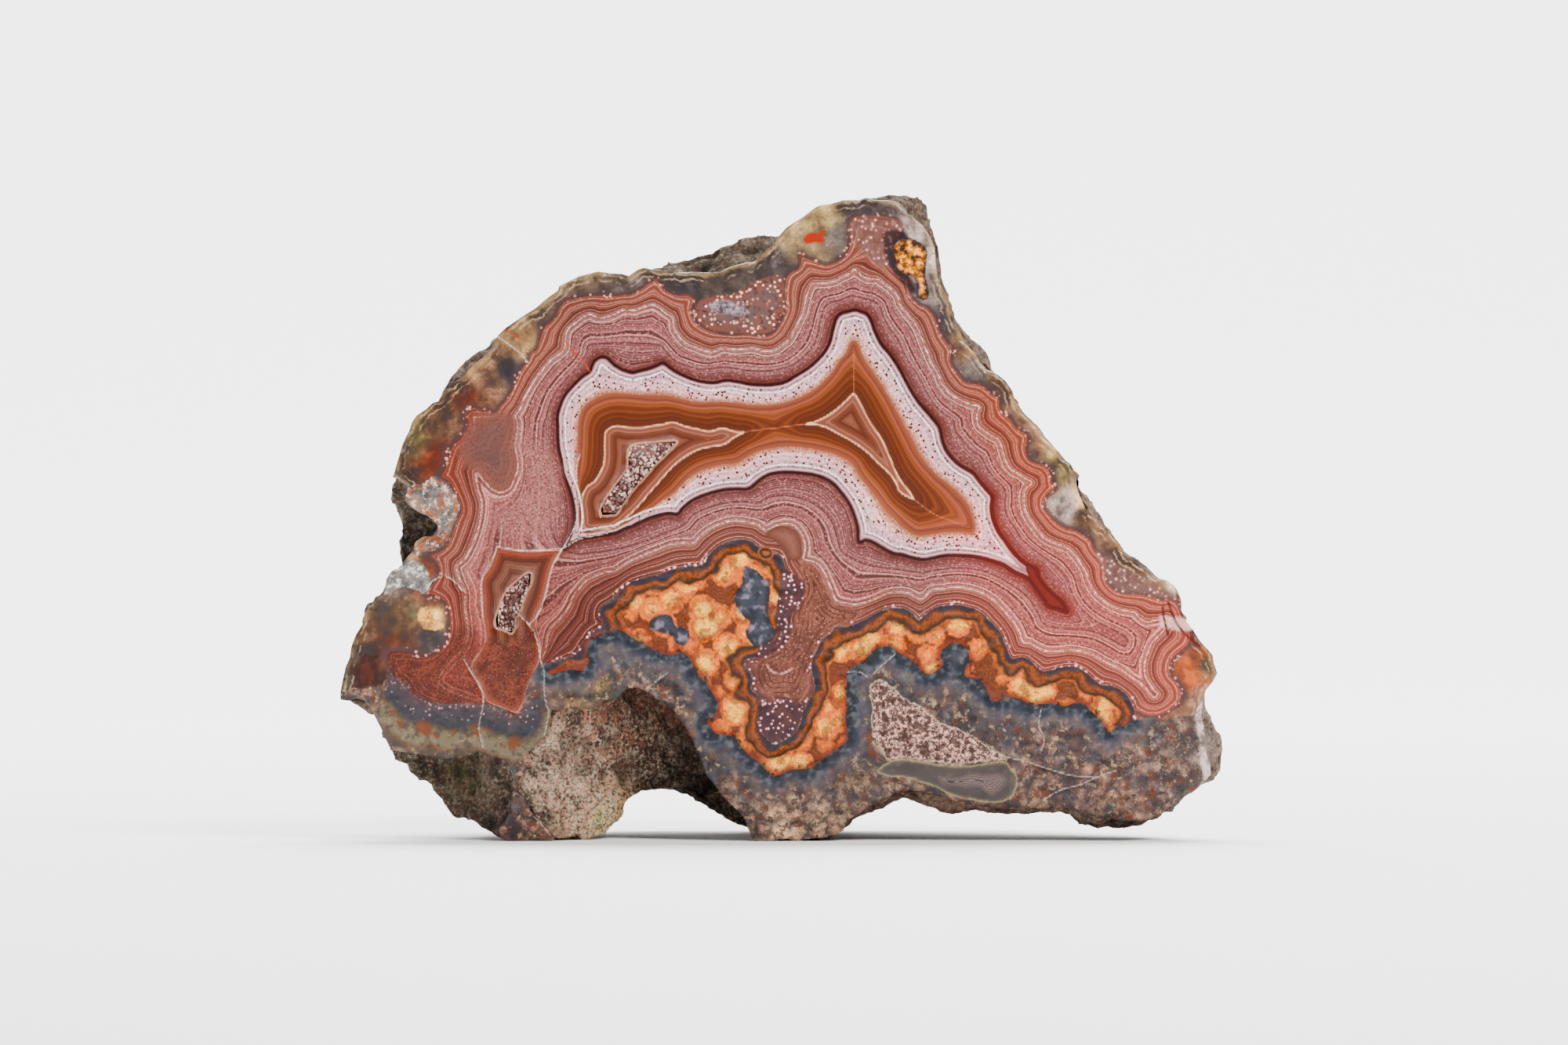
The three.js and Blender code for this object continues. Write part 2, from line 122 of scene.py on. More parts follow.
# Where the translucent rim changes colour, and where light through the right flank's edge brightens its
# cream crust into painted highlights: x, y and reach in pixels
RIM_AND_HIGHLIGHT_PATCHES = [
    (575, 490, 30, BROWN), (612, 470, 26, TAN), (646, 470, 18, SLATE), (566, 535, 24, BROWN),
    (590, 505, 20, RUST), (562, 590, 26, RUST), (525, 560, 20, OLIVE), (512, 605, 16, DARK_BROWN),
    (665, 430, 22, "#b49c78"), (690, 405, 22, "#8c7864"), (745, 368, 28, "#94806c"),
    (800, 362, 26, "#80746e"), (860, 360, 30, "#544c4e"), (930, 350, 30, "#786a64"), (985, 328, 20, SMOKE),
    (1012, 300, 22, "#b4a484"), (1045, 278, 20, "#bcac88"), (1068, 300, 14, GREY), (1100, 263, 26, SMOKE),
    (1140, 262, 16, GREY), (1165, 285, 16, PALE_QUARTZ), (1185, 320, 16, PALE_QUARTZ),
    # The pale cream patches at x 1246, 1266, 1346 and 1380 are painted highlights on the crust
    (1196, 370, 16, GREY), (1206, 410, 16, SMOKE), (1228, 446, 14, TAN), (1246, 440, 12, "#e0d0a4"),
    (1266, 468, 10, "#d0bc94"), (1245, 472, 20, GREY), (1275, 495, 22, BROWN), (1300, 530, 20, TAN),
    (1325, 560, 24, TAN), (1348, 600, 20, OLIVE), (1346, 574, 11, "#d4c4a0"), (1380, 640, 10, "#d8c8a4"),
    (1362, 645, 14, PALE_QUARTZ), (1385, 660, 18, BROWN), (1410, 690, 20, TAN), (1440, 725, 22, BROWN),
    (1475, 745, 18, TAN), (1498, 748, 10, PALE_QUARTZ), (1505, 795, 16, RUST), (1532, 830, 14, ORANGE),
    (1512, 862, 20, ORANGE), (1540, 850, 12, OLIVE), (1526, 892, 14, TAN), (460, 800, 24, BROWN),
    (485, 768, 18, "#7c6c60"), (505, 790, 24, "#7c5e40"), (552, 786, 6, CREAM), (525, 780, 12, "#7c6c50"),
    (548, 812, 12, SMOKE), (500, 822, 18, "#84431f"), (470, 855, 28, "#501808"), (490, 852, 16, "#6a3824"),
    (450, 840, 14, "#6c5848"), (442, 866, 10, "#5c5450"), (545, 745, 14, ORANGE), (512, 735, 18, GREY),
    (550, 640, 16, GREY), (505, 620, 14, "#40301e"), (578, 660, 12, ORANGE), (548, 692, 12, GREY),
    (552, 715, 12, RUST), (523, 700, 8, CREAM),
]

# Where the bands inside the rim lean to another hue: x, y, reach and the colour they are multiplied by
WASH_PATCHES = [
    (560, 865, 70, (0.6, 0.34, 0.28)), (520, 860, 50, (0.5, 0.28, 0.2)), (640, 870, 50, (0.5, 0.22, 0.18)),
    (590, 780, 40, (0.8, 0.56, 0.5)), (560, 640, 50, (0.75, 0.5, 0.4)), (585, 560, 40, (0.75, 0.5, 0.4)),
    (1300, 540, 50, (1.15, 0.9, 0.75)), (1340, 600, 50, (1.2, 0.9, 0.75)),
    (1420, 790, 120, (1.4, 1.0, 0.94)), (740, 385, 60, (0.8, 0.86, 0.88)),
    (640, 850, 30, (0.4, 0.18, 0.16)), (620, 870, 30, (0.45, 0.2, 0.18)),
    (1330, 720, 100, (1.3, 1.0, 0.96)), (1120, 640, 40, (1.16, 1.2, 1.2)),
    (1205, 590, 30, (0.94, 0.84, 0.86)), (880, 440, 160, (1.0, 1.02, 1.04)),
    (1150, 450, 70, (0.98, 1.02, 1.04)), (748, 800, 34, (0.62, 0.44, 0.38)),
    (778, 762, 28, (0.7, 0.56, 0.52)), (1130, 762, 26, (0.82, 0.68, 0.62)),
    (600, 700, 60, (0.92, 0.86, 0.86)), (650, 640, 60, (1.02, 1.0, 1.0)),
]

# The rim line, where the chalcedony ends and the bands begin, clockwise from the lower left
RIM_LINE = [
    (494, 841), (493, 834), (505, 829), (526, 832), (537, 836), (550, 836), (563, 826), (569, 816),
    (573, 799), (571, 777), (565, 766), (553, 761), (541, 758), (548, 747), (560, 731), (556, 717),
    (548, 709), (562, 702), (570, 695), (576, 679), (582, 662), (587, 651), (583, 636), (572, 617),
    (560, 608), (566, 598), (570, 583), (576, 567), (588, 556), (595, 542), (592, 530), (600, 521),
    (612, 522), (625, 524), (632, 525), (637, 518), (647, 507), (656, 490), (661, 477), (668, 466),
    (673, 460), (677, 449), (684, 445), (689, 429), (694, 417), (702, 410), (709, 402), (713, 391),
    (721, 383), (732, 380), (749, 377), (763, 376), (780, 377), (795, 376), (805, 375), (818, 368),
    (826, 361), (837, 356), (845, 364), (849, 370), (864, 376), (879, 376), (886, 384), (882, 397),
    (889, 411), (905, 421), (925, 426), (950, 426), (970, 428), (985, 425), (996, 410), (1002, 395),
    (1000, 380), (1000, 366), (1002, 354), (1009, 346), (1019, 340), (1021, 324), (1029, 328), (1042, 333),
    (1054, 337), (1067, 333), (1078, 325), (1083, 311), (1083, 289), (1087, 278), (1106, 275), (1127, 276),
    (1144, 281), (1150, 291), (1147, 303), (1138, 312), (1134, 322), (1137, 337), (1147, 349), (1159, 356),
    (1160, 365), (1163, 378), (1174, 388), (1182, 391), (1188, 397), (1193, 404), (1197, 415), (1202, 428),
    (1209, 437), (1215, 446), (1213, 460), (1217, 469), (1224, 478), (1233, 487), (1248, 489), (1258, 495),
    (1266, 503), (1275, 507), (1276, 519), (1282, 528), (1289, 534), (1299, 547), (1308, 551), (1312, 560),
    (1309, 572), (1313, 585), (1322, 590), (1333, 593), (1341, 604), (1342, 614), (1346, 624), (1338, 630),
    (1332, 640), (1333, 648), (1340, 657), (1346, 664), (1359, 673), (1372, 676), (1381, 681), (1391, 688),
    (1396, 700), (1405, 709), (1412, 718), (1411, 738), (1418, 749), (1428, 755), (1448, 757), (1460, 758),
    (1473, 761), (1482, 765), (1494, 764), (1503, 772), (1508, 786), (1515, 800), (1520, 812), (1515, 824),
    (1505, 833), (1497, 840), (1493, 850), (1494, 862), (1502, 870), (1507, 882), (1506, 895), (1500, 901),
    (1490, 908), (1478, 913), (1462, 913), (1450, 908),
]

# The orange plume along the floor of the banded part: its upper and its lower edge, from left to right
PLUME_TOP = [
    (700, 848), (715, 842), (735, 835), (745, 822), (755, 809), (770, 800), (772, 792), (765, 785),
    (768, 774), (778, 768), (790, 757), (800, 746), (813, 740), (826, 737), (844, 733), (859, 727),
    (879, 723), (897, 721), (902, 712), (912, 701), (925, 693), (940, 689), (956, 690), (966, 697),
    (975, 703), (986, 705), (996, 711), (1000, 722), (1006, 733), (1004, 745), (1011, 757), (1013, 768),
    (1009, 778), (1004, 790), (1006, 803), (1001, 815), (990, 826), (976, 834), (964, 838), (952, 841),
    (948, 848), (956, 858), (960, 868), (957, 878), (967, 888), (976, 897), (972, 908), (966, 920),
    (969, 932), (978, 943), (988, 950), (1000, 944), (1012, 938), (1020, 925), (1024, 910), (1030, 897),
    (1036, 885), (1040, 875), (1037, 862), (1035, 850), (1038, 838), (1044, 826), (1050, 815), (1060, 808),
    (1066, 800), (1078, 800), (1090, 797), (1105, 790), (1115, 784), (1125, 779), (1137, 776), (1150, 776),
    (1160, 780), (1167, 786), (1172, 793), (1178, 786), (1186, 780), (1195, 775), (1205, 773), (1218, 772),
    (1232, 774), (1245, 778), (1255, 784), (1262, 792), (1270, 800), (1277, 810), (1281, 820), (1285, 831),
    (1291, 841), (1300, 839), (1310, 840), (1320, 848), (1328, 856), (1338, 856), (1350, 852), (1362, 850),
    (1375, 852), (1385, 858), (1393, 866), (1403, 873), (1415, 875), (1425, 878), (1435, 885), (1442, 895),
    (1446, 908), (1443, 919),
]
PLUME_LOW = [
    (700, 862), (715, 857), (730, 854), (742, 856), (748, 848), (752, 843), (748, 832), (750, 822),
    (757, 814), (770, 808), (785, 803), (796, 806), (805, 812), (818, 820), (830, 826), (842, 832),
    (855, 836), (868, 832), (878, 838), (886, 850), (892, 862), (900, 870), (906, 880), (912, 890),
    (916, 900), (910, 912), (902, 920), (908, 930), (914, 936), (925, 938), (936, 940), (944, 950),
    (956, 964), (968, 972), (976, 980), (984, 990), (995, 988), (1008, 982), (1022, 981), (1036, 979),
    (1046, 970), (1058, 962), (1070, 953), (1080, 944), (1080, 930), (1078, 915), (1081, 900), (1079, 885),
    (1080, 870), (1080, 858), (1092, 848), (1105, 840), (1114, 830), (1124, 825), (1136, 824), (1143, 830),
    (1152, 836), (1164, 843), (1172, 852), (1184, 860), (1196, 854), (1203, 846), (1199, 836), (1204, 827),
    (1214, 821), (1226, 822), (1234, 830), (1236, 842), (1231, 853), (1231, 863), (1240, 864), (1250, 868),
    (1257, 876), (1261, 886), (1268, 894), (1278, 892), (1290, 889), (1303, 893), (1316, 899), (1330, 898),
    (1345, 898), (1358, 901), (1370, 897), (1382, 898), (1390, 905), (1397, 912), (1404, 918), (1410, 928),
    (1416, 934), (1424, 927), (1434, 926), (1443, 919),
]

# The bands' lower border left of the plume, from left to right, and the matrix's upper border at both ends
BAND_FOOT = [
    (494, 850), (505, 866), (518, 872), (524, 882), (540, 892), (560, 897), (585, 898), (612, 898),
    (622, 899), (640, 903), (655, 912), (663, 911), (668, 896), (672, 880), (677, 866), (684, 852),
    (692, 845),
]
MATRIX_LEFT = [(400, 880), (430, 880), (450, 880), (470, 878), (490, 872)]
MATRIX_RIGHT = [
    (1455, 917), (1470, 916), (1485, 920), (1497, 914), (1510, 913), (1525, 912), (1545, 900), (1620, 900),
]

# The white double line round the inner bands, clockwise from its lower left
WHITE_LINE = [
    (616, 893), (606, 893), (588, 887), (573, 881), (560, 871), (562, 860), (570, 850), (579, 839),
    (590, 829), (596, 815), (596, 797), (593, 776), (593, 756), (588, 744), (584, 733), (582, 723),
    (593, 712), (600, 700), (609, 677), (613, 659), (614, 640), (609, 622), (607, 602), (619, 615),
    (628, 624), (639, 628), (650, 623), (655, 613), (660, 600), (660, 585), (657, 570), (659, 555),
    (660, 540), (657, 531), (663, 522), (669, 508), (675, 497), (685, 481), (695, 468), (704, 458),
    (713, 452), (720, 445), (721, 435), (722, 426), (726, 418), (735, 411), (744, 404), (753, 401),
    (763, 405), (775, 404), (785, 400), (797, 395), (808, 396), (815, 394), (823, 391), (833, 389),
    (841, 393), (850, 400), (858, 406), (860, 419), (864, 426), (874, 437), (887, 443), (898, 447),
    (909, 449), (922, 444), (940, 446), (960, 444), (976, 448), (990, 446), (998, 440), (1006, 434),
    (1012, 424), (1018, 412), (1023, 401), (1027, 386), (1029, 377), (1034, 365), (1038, 361), (1050, 361),
    (1063, 359), (1073, 354), (1082, 350), (1090, 344), (1097, 350), (1106, 355), (1119, 356), (1128, 362),
    (1138, 370), (1145, 378), (1148, 388), (1155, 398), (1165, 410), (1171, 420), (1174, 427), (1178, 438),
    (1183, 450), (1189, 464), (1196, 475), (1200, 486), (1207, 497), (1216, 505), (1229, 512), (1239, 516),
    (1249, 519), (1246, 529), (1248, 542), (1255, 549), (1265, 556), (1274, 561), (1278, 571), (1283, 588),
    (1289, 598), (1300, 605), (1309, 611), (1317, 616), (1309, 623), (1306, 635), (1308, 650), (1313, 662),
    (1323, 675), (1332, 686), (1344, 692), (1355, 696), (1363, 700), (1371, 708), (1379, 719), (1385, 729),
    (1389, 743), (1396, 755), (1406, 765), (1420, 774), (1435, 779), (1447, 781), (1454, 788), (1463, 793),
    (1478, 790), (1492, 788), (1488, 800), (1477, 812), (1469, 821), (1463, 836), (1460, 847), (1461, 862),
    (1468, 875), (1477, 886), (1471, 890), (1463, 880), (1454, 871), (1446, 866), (1430, 854), (1417, 848),
    (1404, 841), (1393, 835), (1379, 831), (1364, 829), (1348, 831), (1333, 830), (1322, 825), (1313, 820),
    (1305, 819), (1301, 808), (1296, 798), (1286, 785), (1277, 775), (1267, 765), (1254, 757), (1240, 752),
    (1221, 749), (1203, 751), (1188, 753), (1175, 764), (1160, 757), (1147, 755), (1132, 757), (1116, 764),
    (1101, 769), (1090, 771), (1078, 769), (1067, 766), (1062, 756), (1057, 743), (1051, 730), (1045, 721),
    (1037, 716), (1025, 713), (1027, 702), (1026, 690), (1021, 679), (1014, 671), (1004, 668), (991, 670),
    (977, 676), (966, 669), (953, 666), (940, 664), (925, 666), (910, 672), (900, 678), (890, 687),
    (884, 693), (869, 693), (854, 695), (841, 700), (826, 706), (810, 713), (800, 718), (784, 728),
    (772, 730), (759, 735), (749, 740), (740, 749), (731, 761), (727, 771), (721, 781), (713, 791),
    (703, 801), (699, 812), (696, 828), (690, 845), (683, 858), (676, 878), (669, 897), (662, 909),
    (645, 904), (630, 898),
]

# The thin dark line in the mauve bands
DARK_THREAD = [
    (694, 590), (692, 570), (693, 545), (697, 530), (703, 510), (713, 494), (725, 480), (737, 467),
    (747, 452), (751, 440), (770, 438), (797, 437), (820, 438), (841, 440), (850, 448), (861, 460),
    (879, 467), (897, 471), (920, 468), (938, 470), (961, 473), (986, 472), (1007, 467), (1022, 457),
    (1035, 444), (1042, 429), (1046, 409), (1051, 394), (1057, 386), (1070, 383), (1080, 379), (1088, 377),
    (1100, 380), (1113, 383), (1123, 391), (1127, 404), (1136, 420), (1146, 434), (1152, 448), (1160, 462),
    (1172, 481), (1181, 498), (1192, 516), (1205, 528), (1217, 538), (1219, 549), (1229, 562), (1241, 575),
    (1252, 583), (1257, 593), (1266, 607), (1279, 620), (1283, 631), (1282, 647), (1287, 662), (1295, 674),
    (1305, 689), (1321, 702), (1337, 714), (1350, 724), (1362, 738), (1367, 755), (1378, 775), (1395, 790),
    (1412, 799), (1430, 808), (1439, 816), (1434, 825), (1417, 816), (1394, 806), (1369, 803), (1346, 801),
    (1330, 795), (1323, 780), (1310, 762), (1295, 749), (1274, 737), (1256, 729), (1231, 725), (1205, 726),
    (1185, 729), (1175, 731), (1148, 727), (1125, 724), (1105, 720), (1085, 712), (1073, 702), (1068, 688),
    (1062, 668), (1050, 652), (1036, 642), (1018, 635), (1000, 632), (980, 635), (966, 642), (945, 640),
    (920, 643), (900, 649), (884, 657), (872, 670), (850, 680), (825, 690), (800, 698), (775, 703),
    (750, 706), (732, 706), (712, 694), (703, 672), (700, 640), (697, 615),
]

# The dark red line round the white zone, clockwise from its lower left
RED_LINE = [
    (718, 700), (726, 688), (731, 677), (734, 659), (731, 636), (726, 620), (720, 605), (717, 588),
    (713, 569), (712, 546), (712, 529), (717, 513), (723, 502), (732, 492), (743, 481), (753, 474),
    (758, 462), (767, 456), (775, 458), (783, 466), (795, 473), (807, 476), (815, 474), (828, 471),
    (838, 467), (846, 464), (856, 471), (866, 477), (882, 484), (897, 488), (912, 489), (926, 486),
    (943, 488), (958, 491), (979, 492), (999, 489), (1014, 481), (1030, 471), (1042, 461), (1052, 450),
    (1059, 437), (1063, 421), (1067, 407), (1074, 400), (1083, 398), (1090, 396), (1100, 399), (1106, 402),
    (1111, 411), (1116, 425), (1124, 440), (1134, 452), (1143, 465), (1151, 479), (1160, 496), (1170, 512),
    (1181, 525), (1192, 538), (1198, 547), (1201, 561), (1207, 576), (1218, 589), (1229, 597), (1241, 604),
    (1248, 613), (1258, 625), (1265, 634), (1264, 647), (1266, 662), (1272, 677), (1280, 688), (1290, 702),
    (1303, 716), (1316, 724), (1322, 727), (1324, 737), (1332, 748), (1343, 759), (1353, 767), (1361, 780),
    (1350, 776), (1338, 773), (1331, 763), (1322, 751), (1313, 738), (1294, 729), (1280, 720), (1262, 714),
    (1246, 710), (1226, 708), (1205, 708), (1190, 711), (1178, 713), (1165, 711), (1152, 707), (1139, 705),
    (1124, 697), (1114, 691), (1104, 688), (1096, 691), (1095, 674), (1091, 659), (1084, 642), (1074, 628),
    (1063, 616), (1049, 608), (1033, 604), (1014, 602), (994, 602), (980, 605), (968, 612), (960, 619),
    (953, 623), (940, 623), (923, 624), (907, 628), (892, 633), (879, 640), (869, 649), (864, 655),
    (851, 654), (833, 658), (818, 664), (806, 670), (795, 674), (785, 679), (770, 681), (754, 684),
    (741, 686), (730, 691),
]

# Where the white zone turns orange, and the two cream-edged chambers inside
WHITE_END = [
    (737, 640), (738, 612), (740, 587), (742, 559), (743, 539), (749, 522), (762, 513), (777, 508),
    (798, 507), (831, 510), (851, 510), (864, 513), (892, 518), (915, 517), (938, 519), (969, 522),
    (999, 519), (1025, 510), (1045, 498), (1062, 481), (1073, 463), (1083, 452), (1089, 439), (1095, 455),
    (1104, 471), (1116, 487), (1127, 505), (1137, 523), (1146, 541), (1155, 559), (1165, 578), (1178, 595),
    (1191, 609), (1205, 621), (1219, 634), (1230, 646), (1237, 662), (1239, 674), (1226, 673), (1206, 674),
    (1183, 677), (1170, 678), (1160, 672), (1147, 659), (1134, 646), (1124, 633), (1111, 618), (1100, 603),
    (1091, 587), (1076, 577), (1058, 571), (1038, 567), (1014, 564), (990, 565), (964, 571), (948, 579),
    (938, 585), (920, 587), (902, 591), (887, 597), (874, 607), (864, 618), (856, 626), (846, 633),
    (832, 645), (815, 655), (800, 666), (785, 674), (765, 678), (748, 680), (740, 668),
]
LEFT_CHAMBER = [
    (773, 550), (786, 543), (802, 545), (820, 545), (831, 543), (845, 541), (858, 538), (872, 543),
    (890, 547), (905, 550), (921, 546), (937, 550), (950, 551), (937, 558), (924, 567), (907, 570),
    (890, 574), (874, 583), (861, 593), (850, 604), (840, 616), (830, 627), (815, 645), (800, 660),
    (785, 672), (765, 676), (746, 674), (743, 655), (741, 640), (747, 622), (759, 613), (768, 597),
    (771, 582), (771, 565),
]
RIGHT_CHAMBER = [
    (1089, 502), (1097, 514), (1106, 531), (1115, 546), (1124, 559), (1133, 578), (1140, 595), (1147, 610),
    (1157, 623), (1166, 637), (1148, 628), (1142, 615), (1132, 602), (1119, 590), (1106, 577), (1088, 564),
    (1070, 554), (1055, 546), (1041, 542), (1027, 541), (1041, 537), (1055, 530), (1069, 520), (1081, 509),
]
CHAMBER_SEAMS = [
    [(950, 551), (970, 548), (990, 546), (1010, 543), (1027, 541)],
    [(1166, 637), (1190, 655), (1212, 664), (1237, 673)],
    [(1089, 502), (1089, 470), (1089, 445)],
]

# Single forms on the face, whose depth at every point is a field of its own
REGIONS = {
    "tongue": [
        (607, 605), (619, 617), (628, 626), (639, 630), (650, 625), (656, 613), (661, 600), (661, 585),
        (658, 570), (660, 555), (661, 540), (654, 528), (636, 522), (614, 526), (598, 538), (588, 556),
        (582, 578), (590, 596),
    ],
    "lower_chamber": [
        (634, 697), (645, 700), (662, 702), (678, 703), (693, 702), (706, 699), (717, 700), (711, 710),
        (704, 725), (700, 740), (697, 755), (691, 771), (686, 785), (684, 800), (688, 815), (690, 832),
        (686, 848), (678, 862), (672, 880), (668, 895), (660, 909), (645, 904), (625, 897), (618, 888),
        (612, 875), (603, 858), (602, 845), (609, 835), (618, 820), (618, 802), (615, 786), (615, 764),
        (613, 749), (615, 737), (623, 725), (630, 708),
    ],
    "tall_eye": [
        (950, 722), (962, 725), (972, 733), (982, 748), (982, 765), (980, 785), (987, 800), (989, 812),
        (980, 822), (965, 826), (955, 818), (950, 805), (957, 795), (946, 785), (938, 772), (937, 758),
        (945, 745), (947, 732),
    ],
    "left_eye": [
        (828, 792), (838, 785), (850, 783), (858, 788), (862, 798), (872, 800), (880, 806), (878, 818),
        (872, 824), (862, 820), (855, 810), (845, 808), (835, 805), (828, 800),
    ],
    "spotted_pocket": [
        (958, 885), (968, 888), (978, 898), (990, 892), (1002, 888), (1014, 897), (1026, 893), (1026, 905),
        (1020, 922), (1012, 937), (1000, 943), (988, 949), (978, 942), (969, 931), (967, 915), (972, 903),
    ],
    "spotted_edge": [
        (1000, 722), (1008, 731), (1018, 737), (1026, 742), (1026, 755), (1022, 770), (1012, 782),
        (1008, 795), (1010, 808), (1003, 820), (990, 830), (975, 838), (962, 838), (970, 826), (985, 818),
        (992, 805), (990, 780), (992, 760), (996, 740),
    ],
    "rock_triangle": [
        (1113, 872), (1125, 868), (1135, 875), (1150, 888), (1163, 897), (1178, 903), (1190, 916),
        (1205, 925), (1222, 930), (1238, 938), (1252, 948), (1266, 958), (1283, 966), (1262, 970),
        (1240, 972), (1220, 975), (1200, 972), (1180, 970), (1160, 967), (1145, 966), (1130, 968),
        (1125, 955), (1115, 940), (1112, 920), (1113, 900), (1109, 885),
    ],
    "lens": [
        (1120, 985), (1135, 972), (1160, 970), (1185, 973), (1210, 976), (1235, 977), (1255, 974),
        (1275, 972), (1288, 980), (1297, 992), (1294, 1008), (1285, 1018), (1268, 1024), (1250, 1022),
        (1230, 1018), (1212, 1012), (1195, 1004), (1180, 998), (1160, 993), (1140, 990),
    ],
    "lens_core": [
        (1198, 992), (1215, 994), (1232, 991), (1250, 990), (1266, 988), (1282, 990), (1284, 997),
        (1274, 1004), (1262, 1012), (1250, 1003), (1232, 1001), (1212, 1000),
    ],
    "vug": [
        (1140, 312), (1148, 304), (1160, 303), (1175, 310), (1183, 320), (1182, 335), (1180, 350),
        (1183, 365), (1184, 380), (1176, 383), (1170, 378), (1170, 362), (1162, 353), (1150, 350),
        (1142, 340), (1136, 328),
    ],
    "vug_shade": [
        (1128, 296), (1150, 294), (1160, 306), (1152, 330), (1160, 352), (1173, 374), (1160, 372),
        (1140, 350), (1128, 326),
    ],
    "top_nodule": [
        (886, 396), (894, 382), (910, 378), (935, 375), (955, 364), (975, 354), (995, 352), (1001, 366),
        (1000, 380), (1001, 395), (993, 409), (984, 423), (965, 426), (940, 425), (910, 422), (893, 411),
    ],
    "top_lens": [
        (903, 388), (918, 382), (934, 384), (948, 391), (957, 400), (945, 403), (928, 402), (912, 398),
    ],
    "red_spot": [
        (1024, 306), (1028, 300), (1036, 296), (1042, 299), (1047, 294), (1052, 293), (1050, 302),
        (1050, 310), (1040, 309), (1030, 311),
    ],
    "left_chip": [
        (518, 624), (527, 619), (540, 617), (552, 608), (566, 612), (578, 626), (586, 642), (584, 656),
        (578, 672), (570, 690), (556, 701), (534, 706), (522, 712), (528, 696), (545, 684), (557, 674),
        (549, 660), (530, 648), (519, 636),
    ],
    "pale_knob": [
        (490, 757), (492, 742), (503, 728), (515, 716), (528, 715), (540, 721), (547, 735), (548, 748),
        (543, 757), (530, 752), (512, 748),
    ],
    "cream_spot": [
        (536, 777), (551, 776), (553, 790), (566, 797), (562, 802), (548, 803), (538, 798), (534, 788),
    ],
    "chipped_corner": [
        (1525, 1030), (1533, 990), (1530, 975), (1532, 955), (1525, 925), (1523, 912), (1530, 900),
        (1541, 883), (1580, 870), (1600, 1030),
    ],
    "fracture_zone": [
        (1478, 785), (1494, 786), (1512, 788), (1524, 802), (1508, 806), (1492, 802), (1482, 800),
    ],
    "red_wedge": [
        (1308, 720), (1318, 724), (1325, 737), (1333, 748), (1343, 758), (1353, 767), (1361, 780),
        (1350, 776), (1338, 773), (1331, 763), (1322, 751), (1313, 738),
    ],
    "summit_beads": [
        (1086, 282), (1106, 277), (1128, 278), (1146, 283), (1149, 292), (1139, 306), (1134, 322),
        (1136, 336), (1122, 340), (1106, 330), (1094, 316), (1087, 300),
    ],
    "right_beads": [
        (1396, 702), (1412, 708), (1428, 720), (1448, 732), (1470, 744), (1492, 752), (1499, 760),
        (1480, 764), (1455, 757), (1432, 755), (1416, 745), (1408, 728),
    ],
    "quiet_flank": [
        (652, 560), (680, 556), (704, 575), (716, 610), (714, 645), (700, 678), (684, 690), (662, 690),
        (640, 680), (624, 660), (628, 645), (645, 642), (662, 628), (668, 605), (664, 580),
    ],
    "funnel": [
        (1019, 712), (1036, 722), (1052, 742), (1064, 768), (1088, 776), (1106, 778), (1088, 796),
        (1067, 809), (1049, 832), (1037, 860), (1022, 890), (1003, 888), (984, 890), (970, 884), (962, 858),
        (968, 840), (993, 827), (1009, 809), (1014, 777), (1027, 752), (1022, 735),
    ],
    "brown_dome": [
        (977, 681), (985, 673), (998, 670), (1011, 673), (1020, 683), (1024, 698), (1022, 712), (1012, 716),
        (1004, 712), (1000, 702), (991, 692), (981, 687),
    ],
    "red_foot": [
        (612, 822), (630, 812), (650, 818), (668, 806), (684, 800), (688, 825), (688, 850), (676, 876),
        (668, 896), (652, 902), (634, 894), (622, 880), (610, 858),
    ],
    "left_floor": [
        (500, 836), (530, 834), (552, 838), (568, 830), (578, 806), (596, 796), (610, 815), (611, 850),
        (620, 885), (628, 905), (590, 906), (556, 898), (520, 884), (498, 862),
    ],
    "left_sill": [
        (500, 862), (516, 876), (540, 892), (585, 899), (622, 901), (652, 914), (676, 896), (700, 900),
        (708, 925), (700, 950), (668, 968), (640, 985), (620, 962), (560, 962), (505, 952), (484, 930),
        (486, 895),
    ],
    "ringed_nodule": [(966, 705), (970, 698), (978, 697), (986, 701), (987, 709), (981, 714), (972, 714)],
    "upper_pocket": [
        (863, 563), (843, 564), (812, 567), (802, 573), (801, 597), (794, 607), (783, 622), (772, 638),
        (766, 650), (768, 657), (785, 656), (793, 645), (805, 627), (820, 611), (836, 592), (850, 579),
    ],
    "lower_pocket": [
        (677, 731), (668, 734), (658, 743), (645, 756), (638, 773), (632, 789), (633, 800), (645, 804),
        (652, 808), (657, 801), (656, 791), (663, 779), (668, 763), (676, 745),
    ],
}

# Lines on the face: a pale arc, cracks and veins
WHITE_ARC = [(978, 847), (982, 854), (991, 859), (1002, 858), (1011, 852)]
FRACTURES = [
    [
        (660, 782), (677, 800), (685, 817), (690, 845), (694, 855), (694, 881), (697, 899), (700, 909),
        (694, 940),
    ],
    [
        (592, 841), (601, 857), (610, 872), (616, 887), (616, 899), (612, 919), (611, 932), (615, 947),
        (616, 955),
    ],
    [(545, 752), (552, 741), (567, 735), (580, 742), (590, 754)],
    [(634, 697), (627, 716), (614, 742), (616, 790)],
    [(717, 700), (704, 725), (697, 755), (688, 780), (676, 797)],
    [(634, 697), (662, 702), (690, 702), (717, 700), (738, 688), (775, 680)],
    [(632, 428), (650, 440), (665, 452), (674, 463)],
    [(1080, 857), (1096, 857), (1108, 865)],
    [(1112, 862), (1126, 848), (1142, 834)],
    [(826, 878), (838, 868), (852, 858)],
    [(740, 578), (735, 600), (738, 640), (733, 672), (718, 700)],
    [(1328, 905), (1325, 925), (1332, 944), (1326, 962)],
    [(1284, 966), (1310, 972), (1338, 981), (1366, 989), (1402, 992)],
    [(1330, 1021), (1352, 1008), (1378, 1001), (1402, 990), (1424, 983)],
]
